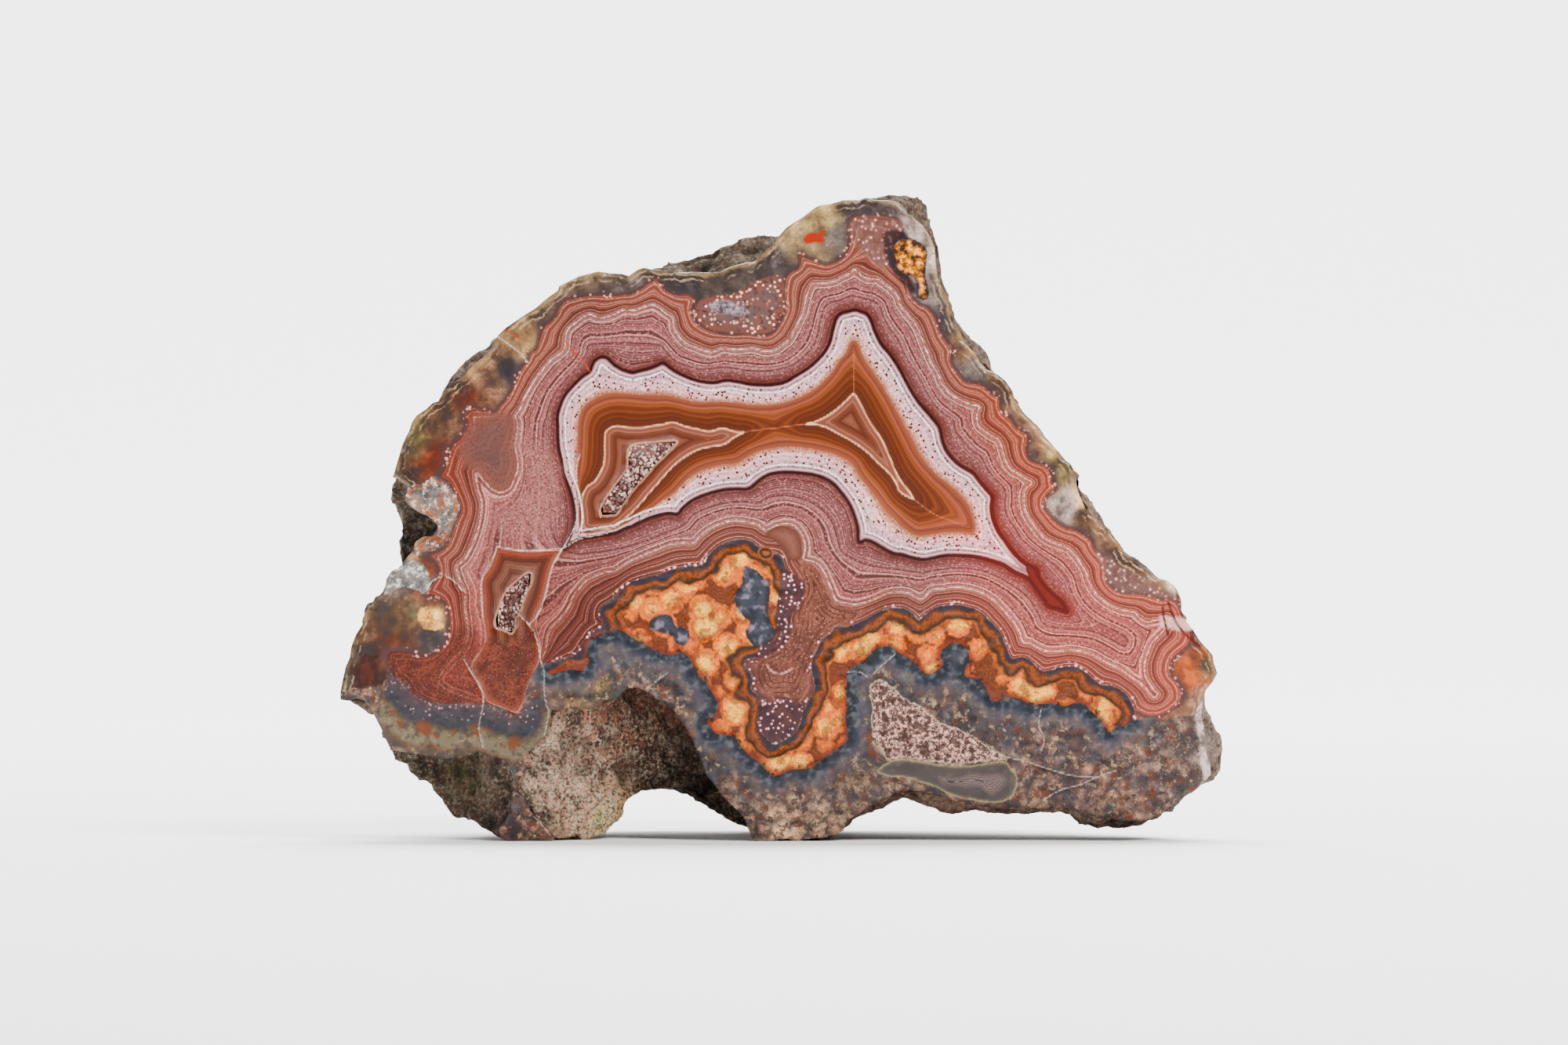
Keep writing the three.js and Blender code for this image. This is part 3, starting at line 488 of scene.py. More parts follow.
ORANGE_CRACKS = [
    [(722, 436), (730, 447), (738, 455), (745, 462), (752, 474)],
    [(641, 419), (650, 424), (664, 432)],
]
RED_VEINS = [
    [(1483, 773), (1484, 785), (1487, 798), (1490, 810)],
    [(1490, 768), (1495, 782), (1502, 797), (1514, 811), (1530, 824)],
    [(1501, 754), (1503, 764), (1507, 774)],
]

# Patches of the rock, the chalcedony and the matrix below the bands: x, y, reach and colour
ROCK_PATCHES = [
    (450, 880, 16, "#6c5c5c"), (475, 893, 16, "#5c3830"), (490, 905, 18, "#54383c"),
    (520, 893, 18, "#5c3c40"), (560, 898, 22, "#64464a"), (600, 905, 18, "#6c4c50"),
    (530, 914, 12, "#3a3c50"), (565, 915, 12, "#3c4054"), (600, 920, 12, "#444858"),
    (628, 915, 16, "#a39894"), (530, 930, 12, "#8a4c24"), (560, 932, 12, "#9c5020"),
    (600, 932, 12, "#8c5028"), (520, 945, 12, "#8a8468"), (560, 948, 12, "#948c6c"),
    (600, 950, 14, "#8c8464"), (640, 935, 20, "#9c8a72"), (665, 925, 18, "#8f8784"),
    (680, 900, 14, "#3a4152"), (684, 925, 12, "#4c5060"), (640, 965, 18, "#8f7c6c"),
    (660, 990, 18, "#7c675a"), (690, 960, 18, "#a58a78"), (655, 1025, 20, "#543a44"),
    (700, 1030, 22, "#8c7064"), (740, 1020, 30, "#a98f7e"), (700, 985, 22, "#9c8070"),
    (730, 880, 18, "#8f8466"), (712, 900, 16, "#b59c88"), (760, 865, 16, "#a8996c"),
    (745, 832, 12, "#4c5664"), (775, 840, 24, "#55606a"), (820, 846, 20, "#5c646a"),
    (858, 858, 16, "#55585e"), (800, 868, 18, "#8a8272"), (868, 886, 14, "#3a4350"),
    (892, 905, 14, "#3c4450"), (905, 940, 16, "#4a5260"), (930, 965, 16, "#495262"),
    (955, 990, 16, "#6c6668"), (985, 1010, 22, "#7a6a66"), (1010, 1000, 20, "#4d4e5a"),
    (1050, 985, 20, "#4a5262"), (1085, 955, 20, "#4a5566"), (1098, 900, 16, "#4c5868"),
    (1100, 868, 14, "#8c7f74"), (1120, 845, 14, "#5a6674"), (1160, 862, 18, "#66666c"),
    (1190, 880, 18, "#7a6c6a"), (1250, 905, 22, "#5c5a64"), (1290, 915, 22, "#655c62"),
    (1350, 925, 26, "#5e5a66"), (1400, 955, 30, "#7c6a64"), (1460, 935, 26, "#6e6468"),
    (1510, 945, 26, "#a3948c"), (1540, 965, 22, "#b3a6a2"), (1080, 1010, 30, "#a89888"),
    (1010, 1045, 34, "#d4c4b4"), (975, 1058, 14, "#6a565a"), (1090, 985, 20, "#8a7c70"),
    (1330, 960, 40, "#988480"), (1380, 1000, 40, "#a68e86"), (1450, 985, 40, "#a68e84"),
    (1320, 1020, 26, "#a48f7e"), (1420, 1030, 30, "#9c8678"), (1500, 1000, 30, "#a08c84"),
    (1545, 985, 18, "#8c7468"),
]

# Patches of the broken rock seen from the front, with painted shade in the left notch, on the rock left of
# the hollow and, near-black, under the ridge at the hollow's right: x, y, reach and colour
BROKEN_ROCK_AND_SHADE_PATCHES = [
    # Painted shade: the dark patches at x 505 and 515 in the notch, and the dark browns from x 520 to 655 on
    # the rock left of the hollow
    (505, 660, 30, "#4a3c30"), (515, 700, 20, "#3c3028"), (520, 960, 24, "#54483a"),
    (540, 990, 24, "#4e4434"), (590, 1000, 22, "#8a8258"), (580, 1030, 26, "#4c4434"),
    (620, 1040, 22, "#5c4e40"), (630, 990, 18, "#7c6a5c"), (655, 1050, 20, "#54393e"),
    (690, 1050, 16, "#7c5a56"), (720, 960, 44, "#f2d2c6"), (760, 920, 30, "#deb8aa"),
    (740, 1020, 34, "#f6cfc0"), (764, 1044, 12, "#f2e0b8"), (790, 1032, 10, "#e6d4ac"),
    (790, 1020, 24, "#e6ceb8"), (790, 950, 30, "#cca898"), (830, 910, 30, "#b48c7c"),
    # Painted shadow under the ridge: the darkest patches from x 870 to 930 on this line and the next
    (830, 970, 30, "#a07868"), (870, 960, 26, "#64463c"), (900, 990, 30, "#20140e"),
    (930, 1020, 30, "#1a100c"), (870, 1010, 24, "#5c4434"), (940, 310, 40, "#8c7866"),
    (900, 330, 30, "#7c6856"), (980, 1060, 20, "#6a565a"), (1558, 935, 26, "#b4a6a0"),
    (1545, 1000, 24, "#a08c80"), (1500, 1045, 30, "#7c6656"),
]


def plain(text):
    """A colour written as on a screen, such as #a0b0c0, in linear light."""
    steps = [int(text[i:i + 2], 16) / 255 for i in (1, 3, 5)]
    light = [v / 12.92 if v <= 0.04045 else ((v + 0.055) / 1.055) ** 2.4 for v in steps]
    return (*light, 1.0)


def linear(text):
    """The surface colour that looks like the written one under the studio light and the film curve."""
    light = [FILM_GAIN * v**FILM_POWER * (1 + FILM_SLOPE * v + FILM_RISE * v**3) for v in plain(text)[:3]]
    middle = sum(light) / 3
    return (*[min(max(middle + (v - middle) * FILM_RICHNESS, 0.002), FILM_TOP) for v in light], 1.0)


def spline(points, closed=True, steps=SPLINE_STEPS):
    """A smooth line through the given points, in pixels."""
    p = np.array(points, float)
    if closed:
        before, start, end, after = np.roll(p, 1, 0), p, np.roll(p, -1, 0), np.roll(p, -2, 0)
    else:
        padded = np.vstack([2 * p[0] - p[1], p, 2 * p[-1] - p[-2]])
        before, start, end, after = padded[:-3], padded[1:-2], padded[2:-1], padded[3:]
    t = (np.arange(steps) / steps)[None, :, None]
    a, b, c, d = (v[:, None, :] for v in (before, start, end, after))
    bend = (2 * a - 5 * b + 4 * c - d) * t**2
    curve = 0.5 * (2 * b + (c - a) * t + bend + (3 * b - a - 3 * c + d) * t**3)
    curve = curve.reshape(-1, 2)
    return curve if closed else np.vstack([curve, p[-1]])


def gap_to(points, line, closed=True):
    """How far each point lies from a line."""
    tree = kdtree.KDTree(len(line))
    for i, (x, y) in enumerate(line):
        tree.insert((x, y, 0), i)
    tree.balance()
    near = np.array([tree.find((x, y, 0))[1] for x, y in points])
    best = np.full(len(points), np.inf)
    for step in (-1, 1):
        other = (near + step) % len(line) if closed else np.clip(near + step, 0, len(line) - 1)
        side = line[other] - line[near]
        length = np.maximum((side**2).sum(1), 1e-9)
        along = np.clip(((points - line[near]) * side).sum(1) / length, 0, 1)
        gap = points - line[near] - side * along[:, None]
        best = np.minimum(best, np.hypot(gap[:, 0], gap[:, 1]))
    return best


def within(points, line):
    """Which points lie inside a closed line."""
    x, y = points.T
    inside = np.zeros(len(points), bool)
    for (x0, y0), (x1, y1) in zip(line, np.roll(line, -1, 0)):
        if y0 != y1:
            inside ^= ((y0 > y) != (y1 > y)) & (x < x0 + (y - y0) * (x1 - x0) / (y1 - y0))
    return inside


def depth_in(points, outline):
    """How deep each point lies inside a closed outline; outside it the figure is negative."""
    line = spline(outline, steps=OUTLINE_STEPS)
    gap = gap_to(points, line)
    return np.where(within(points, line), gap, -gap)


def rising(value, start, reach):
    """Nothing up to the start, then more and more, and one from the end of the reach on."""
    return np.clip((value - start) / reach, 0, 1)


def blended(points, patches, reach=1.0):
    """The colour at each point, where soft patches of colour run into one another."""
    total = np.zeros((len(points), 3))
    weight = np.zeros(len(points))
    for x, y, size, color in patches:
        light = linear(color)[:3] if isinstance(color, str) else color
        far = ((points[:, 0] - x) ** 2 + (points[:, 1] - y) ** 2) / (size * reach) ** 2
        share = 1 / (far**2 + 0.02)
        total += share[:, None] * np.array(light)
        weight += share
    return total / weight[:, None]


def covered_by(points, lines):
    """Which points lie inside closed lines, those inside a hole left out."""
    return np.logical_xor.reduce([within(points, line) for line in lines])


def nearest_gap(points, lines, closed=True):
    """How far each point lies from the nearest of several lines."""
    return np.minimum.reduce([gap_to(points, line, closed) for line in lines])


def rows_of(items, name):
    """A mesh's places or directions, one row each."""
    flat = np.zeros(len(items) * 3, np.float32)
    items.foreach_get(name, flat)
    return flat.reshape(-1, 3).astype(float)


def border_edges(polygons):
    """The directed edges that only one of the polygons has."""
    found = {}
    for corners in polygons:
        for a, b in zip(corners, [*corners[1:], corners[0]]):
            if (b, a) in found:
                del found[(b, a)]
            else:
                found[(a, b)] = True
    return list(found)


def face_loops():
    """The borders of the polished plane, read from the CAD solid: one closed line of pixels each."""
    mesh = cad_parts["agate"].data
    co = rows_of(mesh.vertices, "co")
    names = {}
    which = np.array([names.setdefault(tuple(np.round(c / 1e-6).astype(int)), len(names)) for c in co])
    place = np.zeros((len(names), 3))
    place[which] = co
    at_face = []
    for polygon in mesh.polygons:
        corners = which[list(polygon.vertices)]
        if np.all(np.abs(place[corners, 1] - FACE_Y) < 1e-5) and polygon.normal.y < -0.9:
            at_face.append(corners)
    after = {}
    for a, b in border_edges(at_face):
        after.setdefault(a, []).append(b)
    loops = []
    while after:
        start = here = next(iter(after))
        loop = []
        while here in after:
            loop.append(here)
            here = after[here].pop() if len(after[here]) > 1 else after.pop(here)[0]
            if here == start:
                break
        loops.append(to_pixels(place[loop]))
    return [loop for loop in loops if len(loop) > 8]


def to_pixels(place):
    """Where points of the part lie in the photograph's frame."""
    return np.column_stack([place[:, 0] / M_PER_PX + MIDDLE_PX, BASE_PX - place[:, 2] / M_PER_PX])


def resampled(line, step):
    """A closed line with its points about one step apart."""
    closed = np.vstack([line, line[:1]])
    along = np.concatenate([[0], np.cumsum(np.hypot(*np.diff(closed, axis=0).T))])
    marks = np.linspace(0, along[-1], max(6, int(along[-1] / step)), endpoint=False)
    return np.column_stack([np.interp(marks, along, closed[:, i]) for i in (0, 1)])


def patterned(points, edge_gap):
    """The fields the paint of the cut face reads, worked out at every point of its mesh."""
    rim = spline(RIM_LINE, closed=False)
    plume_top = spline(PLUME_TOP, closed=False)
    plume_low = spline(PLUME_LOW, closed=False)
    foot = spline(BAND_FOOT, closed=False)
    white = spline(WHITE_LINE)
    thread = spline(DARK_THREAD)
    red = spline(RED_LINE)
    white_end = spline(WHITE_END)
    chambers = [spline(LEFT_CHAMBER), spline(RIGHT_CHAMBER)]
    banded_edge = np.vstack([rim, plume_top[::-1], foot[::-1]])
    roof = np.array([(1620, 150), (400, 150)])
    upper_edge = np.vstack([np.array(MATRIX_LEFT), foot, plume_top, np.array(MATRIX_RIGHT), roof])

    to_rim = gap_to(points, rim, closed=False)
    to_top = gap_to(points, plume_top, closed=False)
    to_low = gap_to(points, plume_low, closed=False)
    to_floor = np.minimum(to_top, gap_to(points, foot, closed=False))
    to_white = gap_to(points, white)
    to_thread = gap_to(points, thread)
    to_red = gap_to(points, red)
    to_white_end = gap_to(points, white_end)
    to_chamber = nearest_gap(points, chambers)
    in_bands = within(points, banded_edge)
    in_upper = within(points, upper_edge)
    in_white = within(points, white)
    in_thread = within(points, thread)
    in_red = within(points, red)
    in_white_end = within(points, white_end)
    in_chamber = within(points, chambers[0]) | within(points, chambers[1])

    def between(outer, inner):
        return outer / np.maximum(outer + inner, 1e-6)

    def nearest(lines):
        return nearest_gap(points, [spline(line, closed=False) for line in lines], closed=False)

    outer = np.minimum(to_rim, to_floor)
    band = 1 + between(outer, to_white)
    band = np.where(in_white, 2 + between(to_white, to_thread), band)
    band = np.where(in_thread & in_white, 3 + between(to_thread, to_red), band)
    band = np.where(in_red, 4 + between(to_red, to_white_end), band)
    band = np.where(in_red & in_white_end, 5 + between(to_white_end, to_chamber), band)
    band = np.where(in_red & in_chamber, 6 + np.minimum(to_chamber / CHAMBER_REACH, 0.99), band)

    in_plume = within(points, np.vstack([plume_top, plume_low[::-1]]))
    plume_depth = np.minimum(to_top, to_low)
    fields = {
        "edge_gap": edge_gap,
        "band": band,
        "rim_gap": np.where(in_bands, -to_rim, to_rim),
        "floor_share": between(to_rim, to_floor),
        "floor_gap": to_floor,
        "white_gap": to_white,
        "thread_gap": to_thread,
        "red_gap": np.where(in_red, to_red, -to_red),
        "east": rising(points[:, 0], EAST_PX, EAST_REACH),
        "chamber_gap": to_chamber,
        "seam_gap": nearest(CHAMBER_SEAMS),
        "crack_gap": nearest(FRACTURES),
        "arc_gap": nearest([WHITE_ARC]),
        "ember_gap": nearest(ORANGE_CRACKS),
        "vein_gap": nearest(RED_VEINS),
        "in_upper": np.where(in_upper, 1.0, 0.0),
        "in_plume": np.where(in_plume, plume_depth, -plume_depth),
        "top_gap": to_top,
        "low_gap": to_low,
    }
    for name, outline in REGIONS.items():
        fields[name] = depth_in(points, outline)
    ground = np.where(in_upper[:, None], blended(points, RIM_AND_HIGHLIGHT_PATCHES), blended(points, ROCK_PATCHES))
    return fields, {"ground": ground, "wash": blended(points, WASH_PATCHES + CALM_PATCHES, 0.6)}


class Paint:
    """A material put together from small steps, each of them one shader node."""

    def __init__(self, name):
        self.material = bpy.data.materials.new(name)
        self.material.use_nodes = True
        self.tree = self.material.node_tree
        self.tree.nodes.clear()
        self.spot = None

    def node(self, kind, **settings):
        made = self.tree.nodes.new("ShaderNode" + kind)
        for key, value in settings.items():
            setattr(made, key, value)
        return made

    def feed(self, socket, value):
        if isinstance(value, bpy.types.NodeSocket):
            self.tree.links.new(value, socket)
        else:
            socket.default_value = value

    def field(self, name):
        return self.node("Attribute", attribute_name=name).outputs["Fac"]

    def tint(self, name):
        return self.node("Attribute", attribute_name=name).outputs["Color"]

    def place(self):
        """The point being painted, in millimetres."""
        if self.spot is None:
            scaled = self.node("VectorMath", operation="SCALE")
            self.feed(scaled.inputs[0], self.node("TexCoord").outputs["Object"])
            scaled.inputs["Scale"].default_value = 1 / MM
            self.spot = scaled.outputs[0]
        return self.spot

    def math(self, operation, a, b=0.0, clamp=False):
        made = self.node("Math", operation=operation, use_clamp=clamp)
        self.feed(made.inputs[0], a)
        self.feed(made.inputs[1], b)
        return made.outputs[0]

    def plus(self, a, b):
        return self.math("ADD", a, b)

    def minus(self, a, b):
        return self.math("SUBTRACT", a, b)

    def times(self, first, *others):
        for other in others:
            first = self.math("MULTIPLY", first, other)
        return first

    def fade(self, value, start, end, low=0.0, high=1.0):
        """Runs from low to high while the value goes from start to end."""
        made = self.node("MapRange", clamp=True)
        for socket, number in zip(made.inputs, (value, start, end, low, high)):
            self.feed(socket, number)
        return made.outputs[0]

    def stroke(self, value, width, soft=0.8):
        """One within the width of a line, nothing beyond it."""
        away = self.minus(self.math("ABSOLUTE", value), width)
        return self.fade(away, soft, -soft)

    def mix(self, factor, a, b, blend="MIX"):
        made = self.node("Mix", data_type="RGBA", blend_type=blend, clamp_factor=True)
        self.feed(made.inputs[0], factor)
        self.feed(made.inputs[6], linear(a) if isinstance(a, str) else a)
        self.feed(made.inputs[7], linear(b) if isinstance(b, str) else b)
        return made.outputs[2]

    def ramp(self, value, stops, convert=linear):
        made = self.node("ValToRGB")
        row = made.color_ramp.elements
        while len(row) < len(stops):
            row.new(1.0)
        for element, (position, color) in zip(row, stops):
            element.position = position
            element.color = convert(color)
        self.feed(made.inputs[0], value)
        return made.outputs[0]

    def noise(self, scale, detail=2.0, rough=0.5):
        made = self.node("TexNoise")
        self.feed(made.inputs["Vector"], self.place())
        made.inputs["Scale"].default_value = scale
        made.inputs["Detail"].default_value = detail
        made.inputs["Roughness"].default_value = rough
        return made.outputs[0]

    def blotch(self, scale, start, end, strength=1.0, detail=4.0, rough=0.7, least=0.0):
        """Patches of noise, which rise to the given strength."""
        return self.fade(self.noise(scale, detail, rough), start, end, least, strength)

    def dappled(self, color, *layers):
        """A colour with patches of others over it: the numbers of each blotch, then its tone."""
        for *numbers, tone in layers:
            color = self.mix(self.blotch(*numbers), color, tone)
        return color

    def lines(self, value, detail=2.0, rough=0.6):
        """Noise along one number, which makes bands."""
        made = self.node("TexNoise", noise_dimensions="1D")
        self.feed(made.inputs["W"], value)
        made.inputs["Scale"].default_value = 1.0
        made.inputs["Detail"].default_value = detail
        made.inputs["Roughness"].default_value = rough
        return made.outputs[0]

    def cells(self, scale, output="Distance"):
        made = self.node("TexVoronoi")
        self.feed(made.inputs["Vector"], self.place())
        made.inputs["Scale"].default_value = scale
        return made.outputs[output]

    def bump(self, height, strength, distance):
        made = self.node("Bump")
        self.feed(made.inputs["Height"], height)
        made.inputs["Strength"].default_value = strength
        made.inputs["Distance"].default_value = distance
        return made.outputs[0]

    def finish(self, color, roughness, normal=None, **values):
        surface = self.node("BsdfPrincipled")
        self.feed(surface.inputs["Base Color"], color)
        self.feed(surface.inputs["Roughness"], roughness)
        if normal is not None:
            self.feed(surface.inputs["Normal"], normal)
        for name, value in values.items():
            self.feed(surface.inputs[name.replace("_", " ")], value)
        self.tree.links.new(surface.outputs[0], self.node("OutputMaterial").inputs[0])
        return self.material


# The order of colours across each zone, from its outer border to its inner one
RIM_SIDE = [
    (0.0, "#a07060"), (0.04, "#74392c"), (0.1, "#a0624e"), (0.16, "#8a4a38"), (0.22, "#ae6e56"),
    (0.28, "#844430"), (0.36, "#a86c58"), (0.43, "#8e5240"), (0.5, "#b27c68"), (0.56, "#945442"),
    (0.64, "#9c5e4a"), (0.72, "#804030"), (0.78, "#94543e"), (0.85, "#804234"), (0.92, "#a06454"),
    (0.97, "#92584c"), (1.0, "#c49488"),
]
FLOOR_SIDE = [
    (0.0, "#43303c"), (0.05, "#84503f"), (0.1, "#62301f"), (0.17, "#864a38"), (0.24, "#965645"),
    (0.32, "#703426"), (0.4, "#905040"), (0.48, "#7a3c2c"), (0.56, "#985a4a"), (0.66, "#84483a"),
    (0.76, "#a0644f"), (0.86, "#8a4e40"), (0.95, "#a87468"), (1.0, "#c49488"),
]
MAUVE_OUTER = [
    (0.0, "#c49488"), (0.04, "#9c6058"), (0.1, "#b4827c"), (0.16, "#9a605c"), (0.25, "#ae7874"),
    (0.31, "#8e5654"), (0.38, "#b48482"), (0.43, "#965c5a"), (0.52, "#aa7472"), (0.6, "#b88a88"),
    (0.64, "#8e5656"), (0.74, "#a46e6e"), (0.84, "#965e5e"), (0.93, "#aa7878"), (1.0, "#7e4a4a"),
]
MAUVE_INNER = [
    (0.0, "#7e4a4a"), (0.1, "#a26c6c"), (0.2, "#8a5656"), (0.32, "#9e6a6c"), (0.44, "#865252"),
    (0.56, "#9a6668"), (0.68, "#824c4e"), (0.8, "#a07072"), (0.9, "#885654"), (0.96, "#723830"),
    (1.0, "#54241e"),
]
WHITE_ZONE = [
    (0.0, "#5c2a24"), (0.05, "#8c6c72"), (0.1, "#dcc4c6"), (0.15, "#b0949a"), (0.22, "#ccb0b6"),
    (0.34, "#c2a4aa"), (0.44, "#dac0c4"), (0.53, "#caacb2"), (0.6, "#dec2c0"), (0.68, "#cba698"),
    (0.77, "#bc8a70"), (0.86, "#aa6c4a"), (1.0, "#935034"),
]
ORANGE_ZONE = [
    (0.0, "#a0604a"), (0.1, "#ae6a48"), (0.18, "#98522a"), (0.28, "#a4602e"), (0.38, "#7e3610"),
    (0.48, "#90481c"), (0.58, "#6c2804"), (0.68, "#823a12"), (0.78, "#5a1e02"), (0.88, "#743010"),
    (0.95, "#6a2c0c"), (1.0, "#9c6040"),
]
CHAMBER_ZONE = [
    (0.0, "#d8b4a4"), (0.06, "#a87058"), (0.14, "#a8745e"), (0.22, "#985c42"), (0.28, "#803f26"),
    (0.36, "#6c2c14"), (0.42, "#8c4c34"), (0.5, "#9c6850"), (0.6, "#783c26"), (0.8, "#8c5038"),
    (1.0, "#7c4434"),
]
RED_CHAMBER = [
    (0.0, "#d4b4ac"), (0.04, "#a06858"), (0.12, "#a8604a"), (0.22, "#944a30"), (0.32, "#7a3620"),
    (0.42, "#642816"), (0.52, "#86503c"), (0.66, "#96664e"), (0.8, "#7c4630"), (0.92, "#6c3020"),
    (1.0, "#8c5440"),
]
PLUME_FROM_TOP = [
    (0.0, "#2c2438"), (0.08, "#3c2430"), (0.12, "#643208"), (0.19, "#aa5e08"), (0.25, "#9a5206"),
    (0.3, "#6c3806"), (0.34, "#2c1604"), (0.38, "#5c3206"), (0.42, "#ac6a10"), (0.5, "#dc9c3c"),
    (0.62, "#f0c478"), (0.76, "#cc8428"), (0.88, "#e2a444"), (1.0, "#b86c12"),
]
BLUE_BELOW = [
    (0.0, "#20202a"), (0.12, "#161c2a"), (0.28, "#2c3446"), (0.46, "#544e5c"), (0.7, "#746468"),
    (1.0, "#7e6e68"),
]
VUG_COLORS = [(0.34, "#1c1616"), (0.44, "#5c3c22"), (0.5, "#b07828"), (0.58, "#e2b860"), (0.66, "#d8ccb8")]

# What clouds the rim, the matrix's fragments and its grain, as colours that theirs are multiplied by
SMOKED = [(0.3, "#8c7c74"), (0.7, "#ffffff")]
CLASTS = [(0.0, "#806c64"), (0.35, "#ffffff"), (0.6, "#ac9c90"), (0.8, "#fff4e0"), (1.0, "#888090")]
MOTTLED = [(0.34, "#786c64"), (0.5, "#f4f0ec"), (0.68, "#fff8f0")]
PALER = (1.9, 1.8, 1.65, 1.0)

# The layers under the bands at the lower left, from the top down
SILL_LAYERS = [
    (0.0, "#5c4248"), (0.12, "#5a464e"), (0.28, "#46424a"), (0.42, "#343a46"), (0.5, "#6c5840"),
    (0.6, "#887e64"), (0.8, "#90846c"), (0.92, "#7c5c40"), (1.0, "#5c4c3c"),
]

# The wash away from its patches leaves colours as they are
CALM_PLACES = [
    (700, 450), (800, 550), (1000, 560), (1100, 330), (1200, 600), (1000, 650), (1150, 730), (660, 560),
]
CALM_PATCHES = [(x, y, 60, (1.0, 1.0, 1.0)) for x, y in CALM_PLACES]


class FacePaint(Paint):
    """The paint of the polished face, with the textures that its parts share."""

    def __init__(self, name):
        super().__init__(name)
        self.waver = self.minus(self.noise(0.55, 3.0), 0.5)
        self.ripple = self.minus(self.noise(2.6, 2.0), 0.5)
        self.grain = self.noise(5.5, 3.0, 0.7)
        self.dots = self.cells(1.9)
        self.pepper = self.cells(2.1)
        self.dust = self.cells(3.2)
        self.pale_dust = self.cells(2.7)
        self.broken = self.fade(self.grain, 0.36, 0.52, 0.1, 1.0)

    def waved(self, name, amount):
        """A field whose contours wander widely, by about this many pixels."""
        return self.plus(self.field(name), self.times(self.waver, amount))

    def rippled(self, name, amount):
        """A field whose contours are finely uneven, by about this many pixels."""
        return self.plus(self.field(name), self.times(self.ripple, amount))

    def rows(self, value, width, soft=0.06):
        """Thin lines wherever the value passes a whole number."""
        return self.fade(self.math("PINGPONG", value, 0.5), width + soft, width)


def banded(p, band):
    """The bands, whose colours follow the order of the zones."""
    def zone(start):
        return p.math("SUBTRACT", band, start, clamp=True)

    side = p.fade(p.field("floor_share"), 0.45, 0.6)
    color = p.mix(side, p.ramp(zone(1), RIM_SIDE), p.ramp(zone(1), FLOOR_SIDE))
    zones = ((2, MAUVE_OUTER), (3, MAUVE_INNER), (4, WHITE_ZONE), (5, ORANGE_ZONE), (6, CHAMBER_ZONE))
    for start, stops in zones:
        color = p.mix(p.math("GREATER_THAN", band, float(start)), color, p.ramp(zone(start), stops))

    in_white = p.times(p.fade(band, 4.02, 4.1), p.fade(band, 4.95, 4.75))
    calm = p.minus(1.0, p.times(in_white, 0.8))
    pale_share = p.times(calm, p.fade(band, 4.9, 4.6, 0.05, 1.0))
    threads = p.minus(p.lines(p.times(band, 18.0), 2.0, 0.7), 0.5)
    color = p.mix(p.times(p.fade(threads, 0.03, 0.16, 0.0, 0.25), pale_share), color, "#d4b0aa")
    color = p.mix(p.times(p.fade(threads, -0.02, -0.16, 0.0, 0.5), calm), color, "#6c3830")
    order = p.plus(p.times(band, 9.0), p.times(p.lines(p.times(band, 3.0), 1.0), 4.0))
    chosen = p.fade(p.lines(p.times(order, 0.8), 0.0), 0.36, 0.54)
    dark_line = p.mix(p.fade(band, 4.85, 5.0), "#5a261e", "#6c2c08")
    color = p.mix(p.times(p.rows(order, 0.08), chosen, calm, 0.8), color, dark_line)
    order = p.plus(p.times(band, 4.0), p.times(p.lines(p.times(band, 2.0), 1.0), 3.0))
    color = p.mix(p.times(p.rows(order, 0.02, 0.05), p.broken, pale_share, 0.5), color, "#e0c6c0")
    return color


def peppered(p, band, color):
    """Dark and pale grains in the white zone and in the mauve bands."""
    white_zone = p.times(p.fade(band, 4.1, 4.18), p.fade(band, 4.86, 4.72))
    crowd = p.blotch(0.8, 0.34, 0.46, detail=2.0, rough=0.5)
    color = p.mix(p.times(p.fade(p.grain, 0.52, 0.38, 0.0, 0.5), white_zone), color, "#a88488")
    color = p.mix(p.times(p.fade(p.grain, 0.52, 0.64, 0.0, 0.5), white_zone), color, "#ece0e0")
    color = p.mix(p.times(p.fade(p.pepper, 0.36, 0.24), crowd, white_zone), color, "#64281e")
    mauve = p.times(p.fade(band, 1.9, 2.1), p.fade(band, 4.02, 3.96))
    color = p.mix(p.times(p.fade(p.pale_dust, 0.42, 0.2), mauve, 0.35), color, "#d4b0ac")
    color = p.mix(p.times(p.fade(p.dust, 0.42, 0.22), mauve, 0.6), color, "#703836")
    rusty = p.times(p.fade(band, 2.0, 1.9), p.fade(p.dust, 0.36, 0.2), 0.4)
    return p.mix(rusty, color, "#5c2c24")


